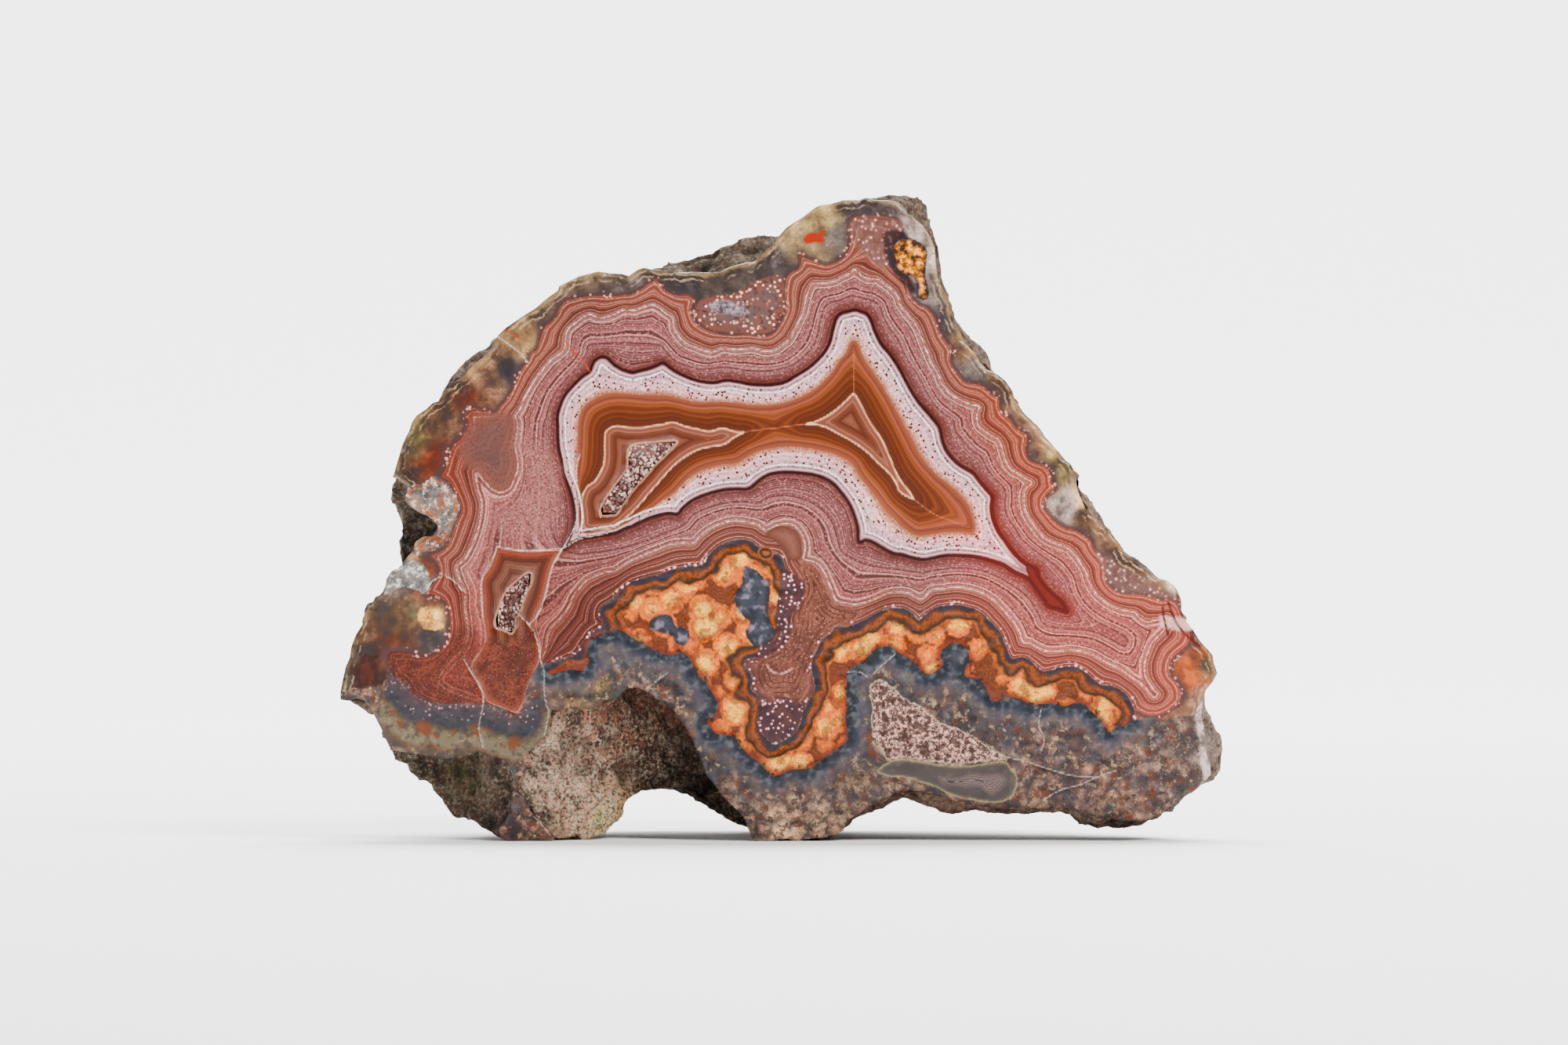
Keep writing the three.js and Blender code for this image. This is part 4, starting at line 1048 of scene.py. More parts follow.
def outlined(p, band, color):
    """The white, dark and red lines between the zones."""
    within_white = p.fade(band, 1.99, 2.01)
    white_gap = p.rippled("white_gap", 1.5)
    color = p.mix(p.times(p.stroke(white_gap, 0.6), p.broken, 0.9), color, "#f0e0da")
    color = p.mix(p.times(p.stroke(p.minus(white_gap, 3.2), 0.7), within_white, 0.6), color, "#70382f")
    echo = p.times(p.stroke(p.minus(white_gap, 6.0), 0.4), p.broken, within_white, 0.6)
    color = p.mix(echo, color, "#ecd8d2")
    color = p.mix(p.times(p.stroke(p.field("thread_gap"), 0.8), 0.85), color, "#40181a")
    red_gap = p.rippled("red_gap", 1.2)
    glow = p.times(p.fade(red_gap, -15.0, -3.0), p.fade(red_gap, 1.5, 0.0))
    glow = p.times(glow, p.blotch(0.09, 0.4, 0.6, 1.0, 1.0, 0.5, least=0.65))
    east = p.field("east")
    color = p.mix(glow, color, p.mix(east, "#6a2016", "#7c281a"))
    line = p.stroke(p.plus(red_gap, 0.8), p.fade(east, 0.0, 1.0, 1.9, 3.0), 0.9)
    color = p.mix(line, color, p.mix(east, "#300804", "#6a140a"))
    color = p.mix(p.times(p.stroke(p.minus(red_gap, 3.4), 0.6), 0.6), color, "#cdb4b4")
    color = p.mix(p.times(p.stroke(p.minus(red_gap, 6.0), 0.7), 0.6), color, "#6c4446")
    color = p.mix(p.times(p.stroke(p.minus(red_gap, 9.0), 0.8), p.broken), color, "#f6eeee")
    wedge = p.field("red_wedge")
    color = p.mix(p.fade(wedge, -1.0, 1.0), color, p.mix(p.fade(wedge, 0.0, 3.0), "#3c0a06", "#7c2018"))
    edge = p.times(p.stroke(p.field("chamber_gap"), 0.6), p.fade(p.grain, 0.34, 0.5, 0.5, 1.0))
    color = p.mix(edge, color, "#eed2bc")
    seam = p.times(p.stroke(p.field("seam_gap"), 0.7), p.fade(band, 5.0, 5.1), 0.45)
    return p.mix(seam, color, "#d8a488")


def inlaid(p, color):
    """The parts inside the bands that have an order of their own."""
    speckled = p.mix(p.fade(p.dust, 0.46, 0.24, 0.0, 0.8), "#ac7e78", "#6c302c")
    speckled = p.mix(p.fade(p.pale_dust, 0.34, 0.18, 0.0, 0.3), speckled, "#dcc0bc")
    color = p.mix(p.fade(p.waved("quiet_flank", 12.0), -6.0, 12.0, 0.0, 0.85), color, speckled)
    flow = p.waved("tongue", 8.0)
    inner = p.mix(p.fade(flow, 0, 26), "#965f52", "#7c5850")
    inner = p.mix(p.fade(p.dust, 0.4, 0.18, 0.0, 0.6), inner, "#543430")
    color = p.mix(p.fade(flow, -3.0, 8.0, 0.0, 0.9), color, inner)

    depth = p.waved("funnel", 6.0)
    rings = p.rows(p.plus(p.times(depth, 0.17), p.times(p.ripple, 0.3)), 0.08, 0.1)
    inner = p.mix(p.blotch(0.4, 0.42, 0.6), "#9c6652", "#7c4634")
    inner = p.mix(p.times(rings, p.blotch(0.7, 0.4, 0.55, 0.9)), inner, "#4c2218")
    inner = p.mix(p.fade(p.dust, 0.4, 0.2, 0.0, 0.5), inner, "#643428")
    inner = p.mix(p.fade(p.pale_dust, 0.3, 0.15, 0.0, 0.5), inner, "#c8a098")
    color = p.mix(p.fade(depth, -2.0, 4.0), color, inner)
    arc = p.times(p.stroke(p.rippled("arc_gap", 3.0), 0.8, 1.2), p.broken)
    color = p.mix(arc, color, "#e4c4bc")
    dome = p.waved("brown_dome", 4.0)
    inner = p.mix(p.fade(dome, 0.0, 12.0), "#74402e", "#9c6a5a")
    inner = p.mix(p.fade(p.dust, 0.4, 0.2, 0.0, 0.3), inner, "#6c3c34")
    color = p.mix(p.fade(dome, -1.0, 1.5), color, inner)

    chamber = p.field("lower_chamber")
    depth = p.plus(p.times(chamber, 0.031), p.times(p.waver, 0.12))
    inner = p.ramp(p.math("MAXIMUM", depth, 0.0), RED_CHAMBER)
    inner = p.mix(p.times(p.rows(p.times(depth, 9.0), 0.08), 0.5), inner, "#4c1c10")
    inner = p.mix(p.fade(p.dust, 0.38, 0.2, 0.0, 0.4), inner, "#5c2418")
    color = p.mix(p.fade(chamber, -0.5, 0.5), color, inner)
    inner = p.mix(p.blotch(0.5, 0.42, 0.58), "#90442c", "#622414")
    inner = p.mix(p.fade(p.dust, 0.46, 0.24, 0.0, 0.9), inner, "#3c120c")
    inner = p.mix(p.fade(p.pale_dust, 0.3, 0.16, 0.0, 0.35), inner, "#c08a80")
    color = p.mix(p.fade(p.waved("red_foot", 10.0), -3.0, 6.0, 0.0, 0.85), color, inner)
    return p.mix(p.fade(p.waved("left_floor", 16.0), -5.0, 8.0, 0.0, 0.65), color, inner)


def rimmed(p, color):
    """The glassy rim, the beads along its line and what has grown in it."""
    rim_gap = p.waved("rim_gap", 5.0)
    edge_gap = p.waved("edge_gap", 14.0)
    cloud = p.noise(0.6, 3.0, 0.55)
    rim = p.mix(1.0, p.tint("ground"), p.ramp(cloud, SMOKED, plain), "MULTIPLY")
    rim = p.mix(p.fade(cloud, 0.52, 0.64, 0.0, 0.5), rim, PALER, "MULTIPLY")
    rim = p.mix(p.fade(cloud, 0.46, 0.38, 0.0, 0.5), rim, "#4c4244")
    rim = p.mix(p.blotch(1.5, 0.56, 0.64, 0.7, 5.0, 0.65), rim, PALER, "MULTIPLY")
    rim = p.mix(p.blotch(1.2, 0.57, 0.64, 0.6, 5.0, 0.65), rim, "#4a3830")
    rim = p.mix(p.times(p.fade(edge_gap, 7.0, 2.0), p.blotch(0.25, 0.42, 0.58, 0.35)), rim, "#c8b48c")
    layer = p.plus(p.times(edge_gap, 0.14), p.times(p.ripple, 0.8))
    layered = p.times(p.blotch(0.35, 0.46, 0.6, 0.4), p.fade(edge_gap, 18.0, 11.0))
    rim = p.mix(p.times(p.rows(layer, 0.05, 0.12), layered), rim, "#4c3e38")
    rim = p.mix(p.times(p.rows(p.plus(layer, 0.5), 0.07, 0.14), layered), rim, "#d4c6b2")
    rim = p.mix(p.times(p.fade(rim_gap, 11.0, 3.0), 0.5), rim, "#54484c")
    color = p.mix(p.fade(rim_gap, -0.6, 0.6), color, rim)
    color = p.mix(p.times(p.stroke(p.minus(rim_gap, 1.0), 2.2, 1.2), 0.75), color, "#5c3a38")
    bead = p.times(p.stroke(rim_gap, 4.0, 1.0), p.fade(p.dots, 0.36, 0.26))
    color = p.mix(p.times(bead, p.blotch(0.33, 0.46, 0.58, 0.85)), color, "#d8b6ae")

    nodule = p.field("top_nodule")
    inner = p.mix(p.fade(p.waved("top_nodule", 8.0), 2, 14), "#8a584c", "#7c6462")
    inner = p.dappled(inner, (1.0, 0.5, 0.62, 0.6, "#a0604a"), (1.8, 0.54, 0.62, 0.8, "#4c2c28"))
    inner = p.mix(p.times(p.fade(p.dots, 0.36, 0.24), p.fade(nodule, 24, 8)), inner, "#e2c6bc")
    color = p.mix(p.fade(nodule, -1, 2), color, inner)
    for name in ("summit_beads", "right_beads"):
        inner = p.mix(p.fade(p.dots, 0.3, 0.5), "#b4908a", "#8c6a62")
        inner = p.mix(p.fade(p.dots, 0.26, 0.16), inner, "#e8cfc8")
        inner = p.mix(p.blotch(1.3, 0.5, 0.6, 0.6), inner, "#764a40")
        color = p.mix(p.fade(p.waved(name, 10.0), -4.0, 4.0, 0.0, 0.85), color, inner)
    inner = p.mix(p.blotch(1.6, 0.4, 0.62), "#5c5058", "#bcb0b4")
    color = p.mix(p.fade(p.field("top_lens"), -1, 3), color, inner)
    return p.mix(p.fade(p.field("red_spot"), -1, 1.5), color, "#b03c1c")


def ground_matrix(p):
    """Below the bands: blue chalcedony that turns into grey matrix rock with pits and pale veins."""
    matrix = p.tint("ground")
    clast = p.fade(p.cells(0.55, "Color"), 0.1, 0.9)
    matrix = p.mix(0.6, matrix, p.mix(1.0, matrix, p.ramp(clast, CLASTS, plain), "MULTIPLY"))
    matrix = p.mix(1.0, matrix, p.ramp(p.noise(0.7, 6.0, 0.7), MOTTLED, plain), "MULTIPLY")
    matrix = p.dappled(matrix, (0.3, 0.5, 0.62, 0.6, "#b89c88"), (0.42, 0.53, 0.59, 0.7, 5.0, "#4a4854"))
    lumps = p.plus(p.cells(0.8), p.times(p.minus(p.grain, 0.5), 0.9))
    matrix = p.mix(p.fade(lumps, 0.44, 0.74, 0.0, 0.75), matrix, "#2c2428")
    matrix = p.mix(p.fade(lumps, 0.36, 0.14, 0.0, 0.9), matrix, PALER, "MULTIPLY")
    matrix = p.dappled(
        matrix,
        (0.8, 0.55, 0.575, 0.85, 5.0, 0.7, "#34282a"),
        (0.85, 0.56, 0.59, 0.85, 6.0, 0.72, "#84401c"),
        (0.9, 0.56, 0.62, 0.4, 6.0, 0.7, "#d4c4ac"),
        (0.37, 0.52, 0.6, 0.45, 4.0, "#3c4656"),
        (2.3, 0.56, 0.6, 0.5, 3.0, 0.6, "#4c3c38"),
    )
    low_gap = p.waved("low_gap", 26.0)
    blue = p.ramp(p.fade(low_gap, 0, 34), BLUE_BELOW)
    blue = p.mix(p.blotch(1.1, 0.5, 0.66, 0.45, 3.0, 0.5), blue, "#8a8c90")
    blue = p.mix(p.times(p.blotch(0.5, 0.52, 0.64, 0.7), p.fade(low_gap, 8, 24)), blue, "#94896c")
    below = p.mix(p.fade(low_gap, 32, 14), matrix, blue)
    floor_gap = p.waved("floor_gap", 22.0)
    sill = p.ramp(p.fade(floor_gap, 0.0, 64.0), SILL_LAYERS)
    sill = p.mix(p.times(p.fade(p.dots, 0.3, 0.2), p.fade(floor_gap, 26.0, 16.0)), sill, "#b8a0a4")
    sill = p.mix(p.blotch(1.2, 0.5, 0.6, 0.7, 6.0), sill, "#342e34")
    sill = p.mix(p.blotch(1.0, 0.54, 0.62, 0.6, 6.0), sill, PALER, "MULTIPLY")
    layer = p.times(p.stroke(p.minus(floor_gap, 36.0), 9.0, 4.0), p.blotch(0.7, 0.52, 0.56, 0.9, 5.0))
    sill = p.mix(layer, sill, "#8a4400")
    below = p.mix(p.fade(p.waved("left_sill", 14.0), -3.0, 4.0), below, sill)

    triangle = p.rippled("rock_triangle", 8.0)
    rock = p.mix(p.blotch(2.0, 0.47, 0.56, 1.0, 6.0, 0.8), "#6c4238", "#dcc8c0")
    rock = p.mix(p.blotch(0.9, 0.49, 0.54, 0.9, 5.0, 0.75), rock, "#44201a")
    below = p.mix(p.fade(triangle, -1.0, 1.5), below, rock)
    below = p.mix(p.times(p.stroke(triangle, 0.8), p.broken, 0.35), below, "#eadcd0")
    lens = p.waved("lens", 10.0)
    inner = p.mix(p.fade(lens, 0.5, 4.0), "#827a64", "#5e5250")
    inner = p.mix(p.blotch(0.3, 0.5, 0.64, 0.4), inner, "#86806c")
    core = p.waved("lens_core", 14.0)
    inner = p.mix(p.fade(core, -4, 3), inner, p.mix(p.rows(p.times(core, 0.4), 0.14), "#94827e", "#5c4a4c"))
    below = p.mix(p.fade(lens, -1, 1.2), below, inner)
    return p.mix(p.times(p.stroke(lens, 0.9), p.broken, 0.5), below, "#c4b898")


def plumed(p, color):
    """The plume: a navy outline, orange and brown bands and a golden middle with cream lumps."""
    across = p.plus(p.waved("top_gap", 10.0), p.times(p.minus(p.cells(0.5), 0.5), 11.0))
    inner = p.ramp(p.fade(across, 0, 46), PLUME_FROM_TOP)
    lumps = p.plus(p.cells(0.36), p.times(p.ripple, 0.25))
    deep = p.fade(across, 17, 23)
    inner = p.mix(p.times(p.fade(lumps, 0.44, 0.2), deep), inner, "#f8ca88")
    inner = p.mix(p.times(p.fade(lumps, 0.42, 0.52), deep), inner, "#d08c28")
    inner = p.mix(p.times(p.fade(lumps, 0.56, 0.64), deep), inner, "#743406")
    inner = p.mix(p.times(p.rows(p.times(lumps, 8.0), 0.1), deep, 0.35), inner, "#b46a1c")
    inner = p.mix(p.blotch(1.6, 0.53, 0.6, 0.5, 5.0, 0.75), inner, "#94460a")
    inner = p.mix(p.times(p.blotch(0.6, 0.56, 0.62, 0.7, 3.0, 0.6), deep), inner, "#8a3a0a")
    inner = p.mix(p.times(p.blotch(3.4, 0.54, 0.64, 0.5, 3.0, 0.6), deep), inner, PALER, "MULTIPLY")
    inner = p.mix(p.times(p.blotch(2.9, 0.5, 0.6, 0.8, 3.0, 0.6), p.minus(1.0, deep)), inner, "#54280a")
    low = p.rippled("low_gap", 6.0)
    inner = p.mix(p.fade(low, 9, 2, 0.0, 0.85), inner, "#8c320a")
    inner = p.mix(p.times(p.fade(low, 12, 3), p.blotch(1.2, 0.54, 0.6)), inner, "#241410")
    inner = p.mix(p.fade(across, 5.0, 1.5), inner, "#2a2034")
    fringe = p.times(p.fade(p.rippled("top_gap", 4.0), 7.0, 4.0), p.fade(p.dots, 0.38, 0.28))
    fringe = p.times(fringe, p.blotch(0.4, 0.46, 0.54), p.field("in_upper"))
    color = p.mix(fringe, color, "#dcc0c4")
    color = p.mix(p.fade(p.field("in_plume"), -0.6, 0.8), color, inner)
    for name in ("tall_eye", "left_eye"):
        eye = p.rippled(name, 3.0)
        inner = p.mix(p.fade(eye, 0.0, 9.0), "#201a28", "#464a58")
        inner = p.dappled(
            inner,
            (0.9, 0.5, 0.66, 0.8, 3.0, 0.5, "#a49ca8"),
            (0.7, 0.52, 0.6, 0.8, 2.0, 0.5, "#1c2030"),
        )
        color = p.mix(p.fade(eye, -1, 1.5), color, inner)
    for name in ("spotted_pocket", "spotted_edge"):
        inner = p.mix(p.blotch(0.8, 0.45, 0.6), "#4c2832", "#6c3c38")
        inner = p.mix(p.fade(p.dots, 0.34, 0.22, 0.0, 0.9), inner, "#e0c4c8")
        color = p.mix(p.fade(p.rippled(name, 5.0), -1, 1.5), color, inner)
    nodule = p.field("ringed_nodule")
    inner = p.mix(p.stroke(p.minus(nodule, 4.0), 1.6, 1.2), "#a86420", "#241a1c")
    return p.mix(p.fade(nodule, -0.5, 1.0), color, inner)


def marked(p, color):
    """Single marks: the vug with painted shade along its left side, the chips, the knob, the broken corner,
    the cracks and the pocket rims.
    """
    # Painted shade: a dark crescent along the vug's left side
    color = p.mix(p.fade(p.rippled("vug_shade", 5.0), -2.0, 3.0, 0.0, 0.85), color, "#241a20")
    inner = p.ramp(p.noise(1.0, 4.0, 0.7), VUG_COLORS)
    inner = p.mix(p.fade(p.field("vug"), 6, 1), inner, "#2a2634")
    color = p.mix(p.fade(p.rippled("vug", 5.0), -1, 1.2), color, inner)
    chip = p.rippled("left_chip", 6.0)
    inner = p.mix(p.blotch(0.6, 0.42, 0.6), "#605c5e", "#9a948e")
    inner = p.dappled(inner, (1.3, 0.54, 0.62, 0.8, 5.0, "#dcd4cc"), (0.5, 0.52, 0.6, 0.6, 3.0, "#a4602c"))
    inner = p.mix(p.times(p.stroke(p.minus(chip, 5.0), 1.0), p.broken, 0.7), inner, "#c88848")
    color = p.mix(p.fade(chip, -1, 1.5), color, inner)
    inner = p.mix(p.blotch(0.7, 0.4, 0.6), "#747270", "#a8a4a0")
    inner = p.mix(p.blotch(1.4, 0.54, 0.61, 0.8, 5.0), inner, "#dad6d0")
    color = p.mix(p.fade(p.rippled("pale_knob", 5.0), -2, 2), color, inner)
    inner = p.mix(p.blotch(1.4, 0.45, 0.6), "#dcc08a", "#b48c54")
    color = p.mix(p.fade(p.rippled("cream_spot", 6.0), -2, 1), color, inner)
    inner = p.mix(p.blotch(0.7, 0.4, 0.6, 1.0, 6.0), "#8c7c74", "#cfc6c4")
    inner = p.mix(p.blotch(1.5, 0.53, 0.62, 0.7), inner, "#5c4c48")
    color = p.mix(p.fade(p.waved("chipped_corner", 10.0), -1, 2), color, inner)
    color = p.mix(p.fade(p.rippled("fracture_zone", 6.0), -1, 3, 0.0, 0.7), color, "#d9c4c0")
    color = p.mix(p.stroke(p.field("vein_gap"), 1.6), color, "#6e1a14")
    color = p.mix(p.times(p.stroke(p.field("ember_gap"), 1.0), 0.9), color, "#c05a28")
    crack = p.plus(p.field("crack_gap"), p.times(p.math("ABSOLUTE", p.ripple), 2.5))
    crack = p.times(p.stroke(crack, 0.8), p.fade(p.grain, 0.36, 0.5, 0.35, 0.75))
    color = p.mix(p.times(crack, p.fade(p.field("in_upper"), 0.0, 1.0, 0.65, 1.0)), color, "#e9dcd6")
    pocket = p.math("MAXIMUM", p.field("upper_pocket"), p.field("lower_pocket"))
    return p.mix(p.fade(p.plus(pocket, p.times(p.ripple, 3.0)), -3.0, -1.0, 0.0, 0.35), color, "#e6cbbc")


def face_paint():
    """The polished face: bands, plume, eyes, matrix and cracks, drawn from the fields on its mesh."""
    p = FacePaint("polished_agate")
    band = p.plus(p.waved("band", 0.05), p.times(p.ripple, 0.02))
    color = banded(p, band)
    color = peppered(p, band, color)
    color = outlined(p, band, color)
    color = p.mix(1.0, color, p.tint("wash"), "MULTIPLY")
    color = inlaid(p, color)
    color = rimmed(p, color)
    color = p.mix(p.field("in_upper"), ground_matrix(p), color)
    color = plumed(p, color)
    color = marked(p, color)
    dull = p.fade(p.field("in_upper"), 0.0, 1.0, 0.3, 0.16)
    return p.finish(color, dull, p.bump(p.noise(5.0, 4.0), 0.04, 0.0003), Specular_IOR_Level=0.22)


def rock_paint():
    """The outer rock: brown and pinkish, grainy, with pale and rusty grains and a darker rind behind;
    painted shade darkens its crevices, pits and the hollow under the ridge, and painted highlights brighten
    the hollow's grains.
    """
    p = Paint("host_rock")
    skin = p.field("skin")
    rind = p.mix(p.blotch(0.09, 0.42, 0.58, 1.0, 4.0, 0.55), "#5c4636", "#9a7e6a")
    rind = p.dappled(
        rind,
        (0.14, 0.5, 0.6, 0.8, 5.0, 0.6, "#9a7c50"),
        (0.2, 0.53, 0.62, 0.8, 5.0, 0.6, "#6c6c54"),
        (0.26, 0.55, 0.63, 0.7, 5.0, 0.6, "#7a4430"),
        (0.33, 0.54, 0.6, 0.7, 5.0, 0.65, "#b8a898"),
    )
    base = p.mix(p.fade(skin, 0.25, 0.8), p.tint("ground"), rind)
    sugary = p.field("sugary")
    base = p.mix(p.blotch(0.7, 0.46, 0.6, 0.35, 5.0), base, "#b09484")
    # On the hollow's sugary rock: dark streaks and specks that are its own dark grains and painted shade in
    # its pits and crevices, and pale blotches that are its pale grains and painted highlights on them
    base = p.mix(p.times(p.blotch(0.42, 0.51, 0.6, 0.85, 6.0, 0.75), sugary), base, "#64463a")
    base = p.mix(p.times(p.blotch(0.5, 0.54, 0.64, 0.7, 6.0, 0.75), sugary), base, "#ffdfd2")
    brown = p.times(p.blotch(1.1, 0.54, 0.6, 0.7, 5.0, 0.75), p.fade(sugary, 0.3, 0.9, 1.0, 0.5))
    base = p.mix(brown, base, "#5a4034")
    base = p.mix(p.times(p.blotch(2.1, 0.5, 0.57, 0.7, 5.0, 0.75), sugary), base, "#fce2d6")
    base = p.mix(p.times(p.blotch(2.7, 0.52, 0.58, 0.8, 4.0, 0.7), sugary), base, "#54382c")
    rust = p.times(p.blotch(1.7, 0.59, 0.66, 0.7, 3.0, 0.5), p.fade(sugary, 0.3, 0.9, 1.0, 0.3))
    base = p.mix(rust, base, "#7c3a26")
    # Painted shade: dark in the crevices, weaker on the hollow's sugary rock
    depth = p.times(p.fade(p.field("crevice_shade"), 0.1, 0.8, 0.0, 0.85), p.fade(sugary, 0.3, 0.9, 1.0, 0.65))
    base = p.mix(depth, base, "#2c1c16")
    rough = p.plus(p.noise(1.6, 8.0, 0.75), p.times(p.cells(2.4), 0.3))
    return p.finish(base, 0.85, p.bump(rough, 1.0, 0.0011), Specular_IOR_Level=0.25)


def quartz_paint(name, tone):
    """Small clear crystals over a warm bed."""
    p = Paint(name)
    color = p.mix(p.blotch(0.9, 0.42, 0.58, 1.0, 2.0, 0.5), tone, "#e4dad6")
    color = p.mix(p.blotch(2.2, 0.56, 0.66, 0.6, 2.0, 0.5), color, "#b07864")
    color = p.mix(p.fade(p.field("bed"), 0.0, 1.0), "#9c6050", color)
    return p.finish(color, 0.3, None, Specular_IOR_Level=0.5)


def new_piece(name, places, faces, material, smooth=False):
    mesh = bpy.data.meshes.new(name)
    mesh.from_pydata(places.tolist(), [], faces.tolist() if isinstance(faces, np.ndarray) else faces)
    mesh.polygons.foreach_set("use_smooth", [smooth] * len(mesh.polygons))
    mesh.materials.append(material)
    mesh.update()
    piece = bpy.data.objects.new(name, mesh)
    bpy.context.scene.collection.objects.link(piece)
    return piece


def give_field(mesh, name, values):
    values = np.asarray(values, np.float32)
    if values.ndim == 1:
        mesh.attributes.new(name, "FLOAT", "POINT").data.foreach_set("value", values)
    else:
        rows = np.column_stack([values, np.ones(len(values), np.float32)]).astype(np.float32)
        mesh.attributes.new(name, "FLOAT_COLOR", "POINT").data.foreach_set("color", rows.ravel())


def to_place(points, back):
    """Points of the photograph's frame as points of the part, some way behind the polished plane."""
    x = (points[:, 0] - MIDDLE_PX) * M_PER_PX
    z = (BASE_PX - points[:, 1]) * M_PER_PX
    return np.column_stack([x, FACE_Y + back, z])


def cut_face(loops, material):
    """The polished slab: a fine flat mesh over the whole plane, with sides that run back into the rock."""
    edges = [resampled(loop, LATTICE_PX) for loop in loops]
    low = edges[0].min(0)
    high = edges[0].max(0)
    rise = LATTICE_PX * math.sqrt(3) / 2
    rows = np.arange(low[1], high[1], rise)
    inner = []
    for i, y in enumerate(rows):
        x = np.arange(low[0] + (i % 2) * LATTICE_PX / 2, high[0], LATTICE_PX)
        inner.append(np.column_stack([x, np.full(len(x), y)]))
    inner = np.vstack(inner)
    inner = inner[covered_by(inner, edges) & (nearest_gap(inner, edges) > 0.6 * LATTICE_PX)]
    border = np.vstack(edges)
    sides = []
    start = 0
    for edge in edges:
        count = len(edge)
        sides += [(start + i, start + (i + 1) % count) for i in range(count)]
        start += count
    every = np.vstack([border, inner])
    result = geometry.delaunay_2d_cdt([Vector(v) for v in every], sides, [], 1, 1e-6)
    points = np.array([tuple(v) for v in result[0]])
    tris = np.array([f for f in result[2] if len(f) == 3])
    tris = tris[covered_by(points[tris].mean(1), edges)]
    a, b, c = (points[tris[:, i]] for i in range(3))
    turned = (b[:, 0] - a[:, 0]) * (c[:, 1] - a[:, 1]) - (b[:, 1] - a[:, 1]) * (c[:, 0] - a[:, 0]) < 0
    tris[turned] = tris[turned][:, ::-1]
    gap = nearest_gap(points, edges)
    fields, tints = patterned(points, gap)
    # Chipped along its border, rough below the bands and sunk along the cracks
    spots = points * GRIT_SCALE
    grit = np.array([noise.fractal(Vector((x, y, 0)), 0.8, 2.0, 3) for x, y in spots])
    chipping = np.clip(1 - gap / (7 + 5 * grit), 0, 1) ** 2 * np.clip(0.35 + 0.5 * grit, 0.05, 1) * 0.6 * MM
    rough = np.where(fields["in_upper"] > 0.5, 0.0, 0.1 * MM * np.clip(grit, 0, 1))
    crack = 0.08 * MM * np.clip(1 - fields["crack_gap"] / 3, 0, 1)
    relief = np.clip(chipping + rough + crack, 0, 0.8 * MM)
    places = to_place(points, relief)

    rim_edges = border_edges(tris.tolist())
    used = sorted({v for edge in rim_edges for v in edge})
    behind = {v: len(points) + i for i, v in enumerate(used)}
    back_places = to_place(points[used], np.full(len(used), SLAB_THICKNESS))
    faces = tris.tolist() + [[b, a, behind[a], behind[b]] for a, b in rim_edges]
    piece = new_piece("cut_face", np.vstack([places, back_places]), faces, material, smooth=True)
    for name, values in fields.items():
        give_field(piece.data, name, np.concatenate([values, values[used]]))
    for name, values in tints.items():
        give_field(piece.data, name, np.vstack([values, values[used]]))
    layer = piece.data.uv_layers.new(name="OFBake")
    corners = np.zeros(len(piece.data.loops), int)
    piece.data.loops.foreach_get("vertex_index", corners)
    flat = np.vstack([points, points[used]])[corners]
    span = (high - low).max()
    uv = np.column_stack([(flat[:, 0] - low[0]) / span, (high[1] - flat[:, 1]) / span])
    layer.data.foreach_set("uv", uv.ravel().astype(np.float32))
    return piece


def fractal(places, scale, rough, octaves):
    """Noise of several sizes at each place."""
    return np.array([noise.fractal(Vector(c) * scale, rough, 2.0, octaves) for c in places])


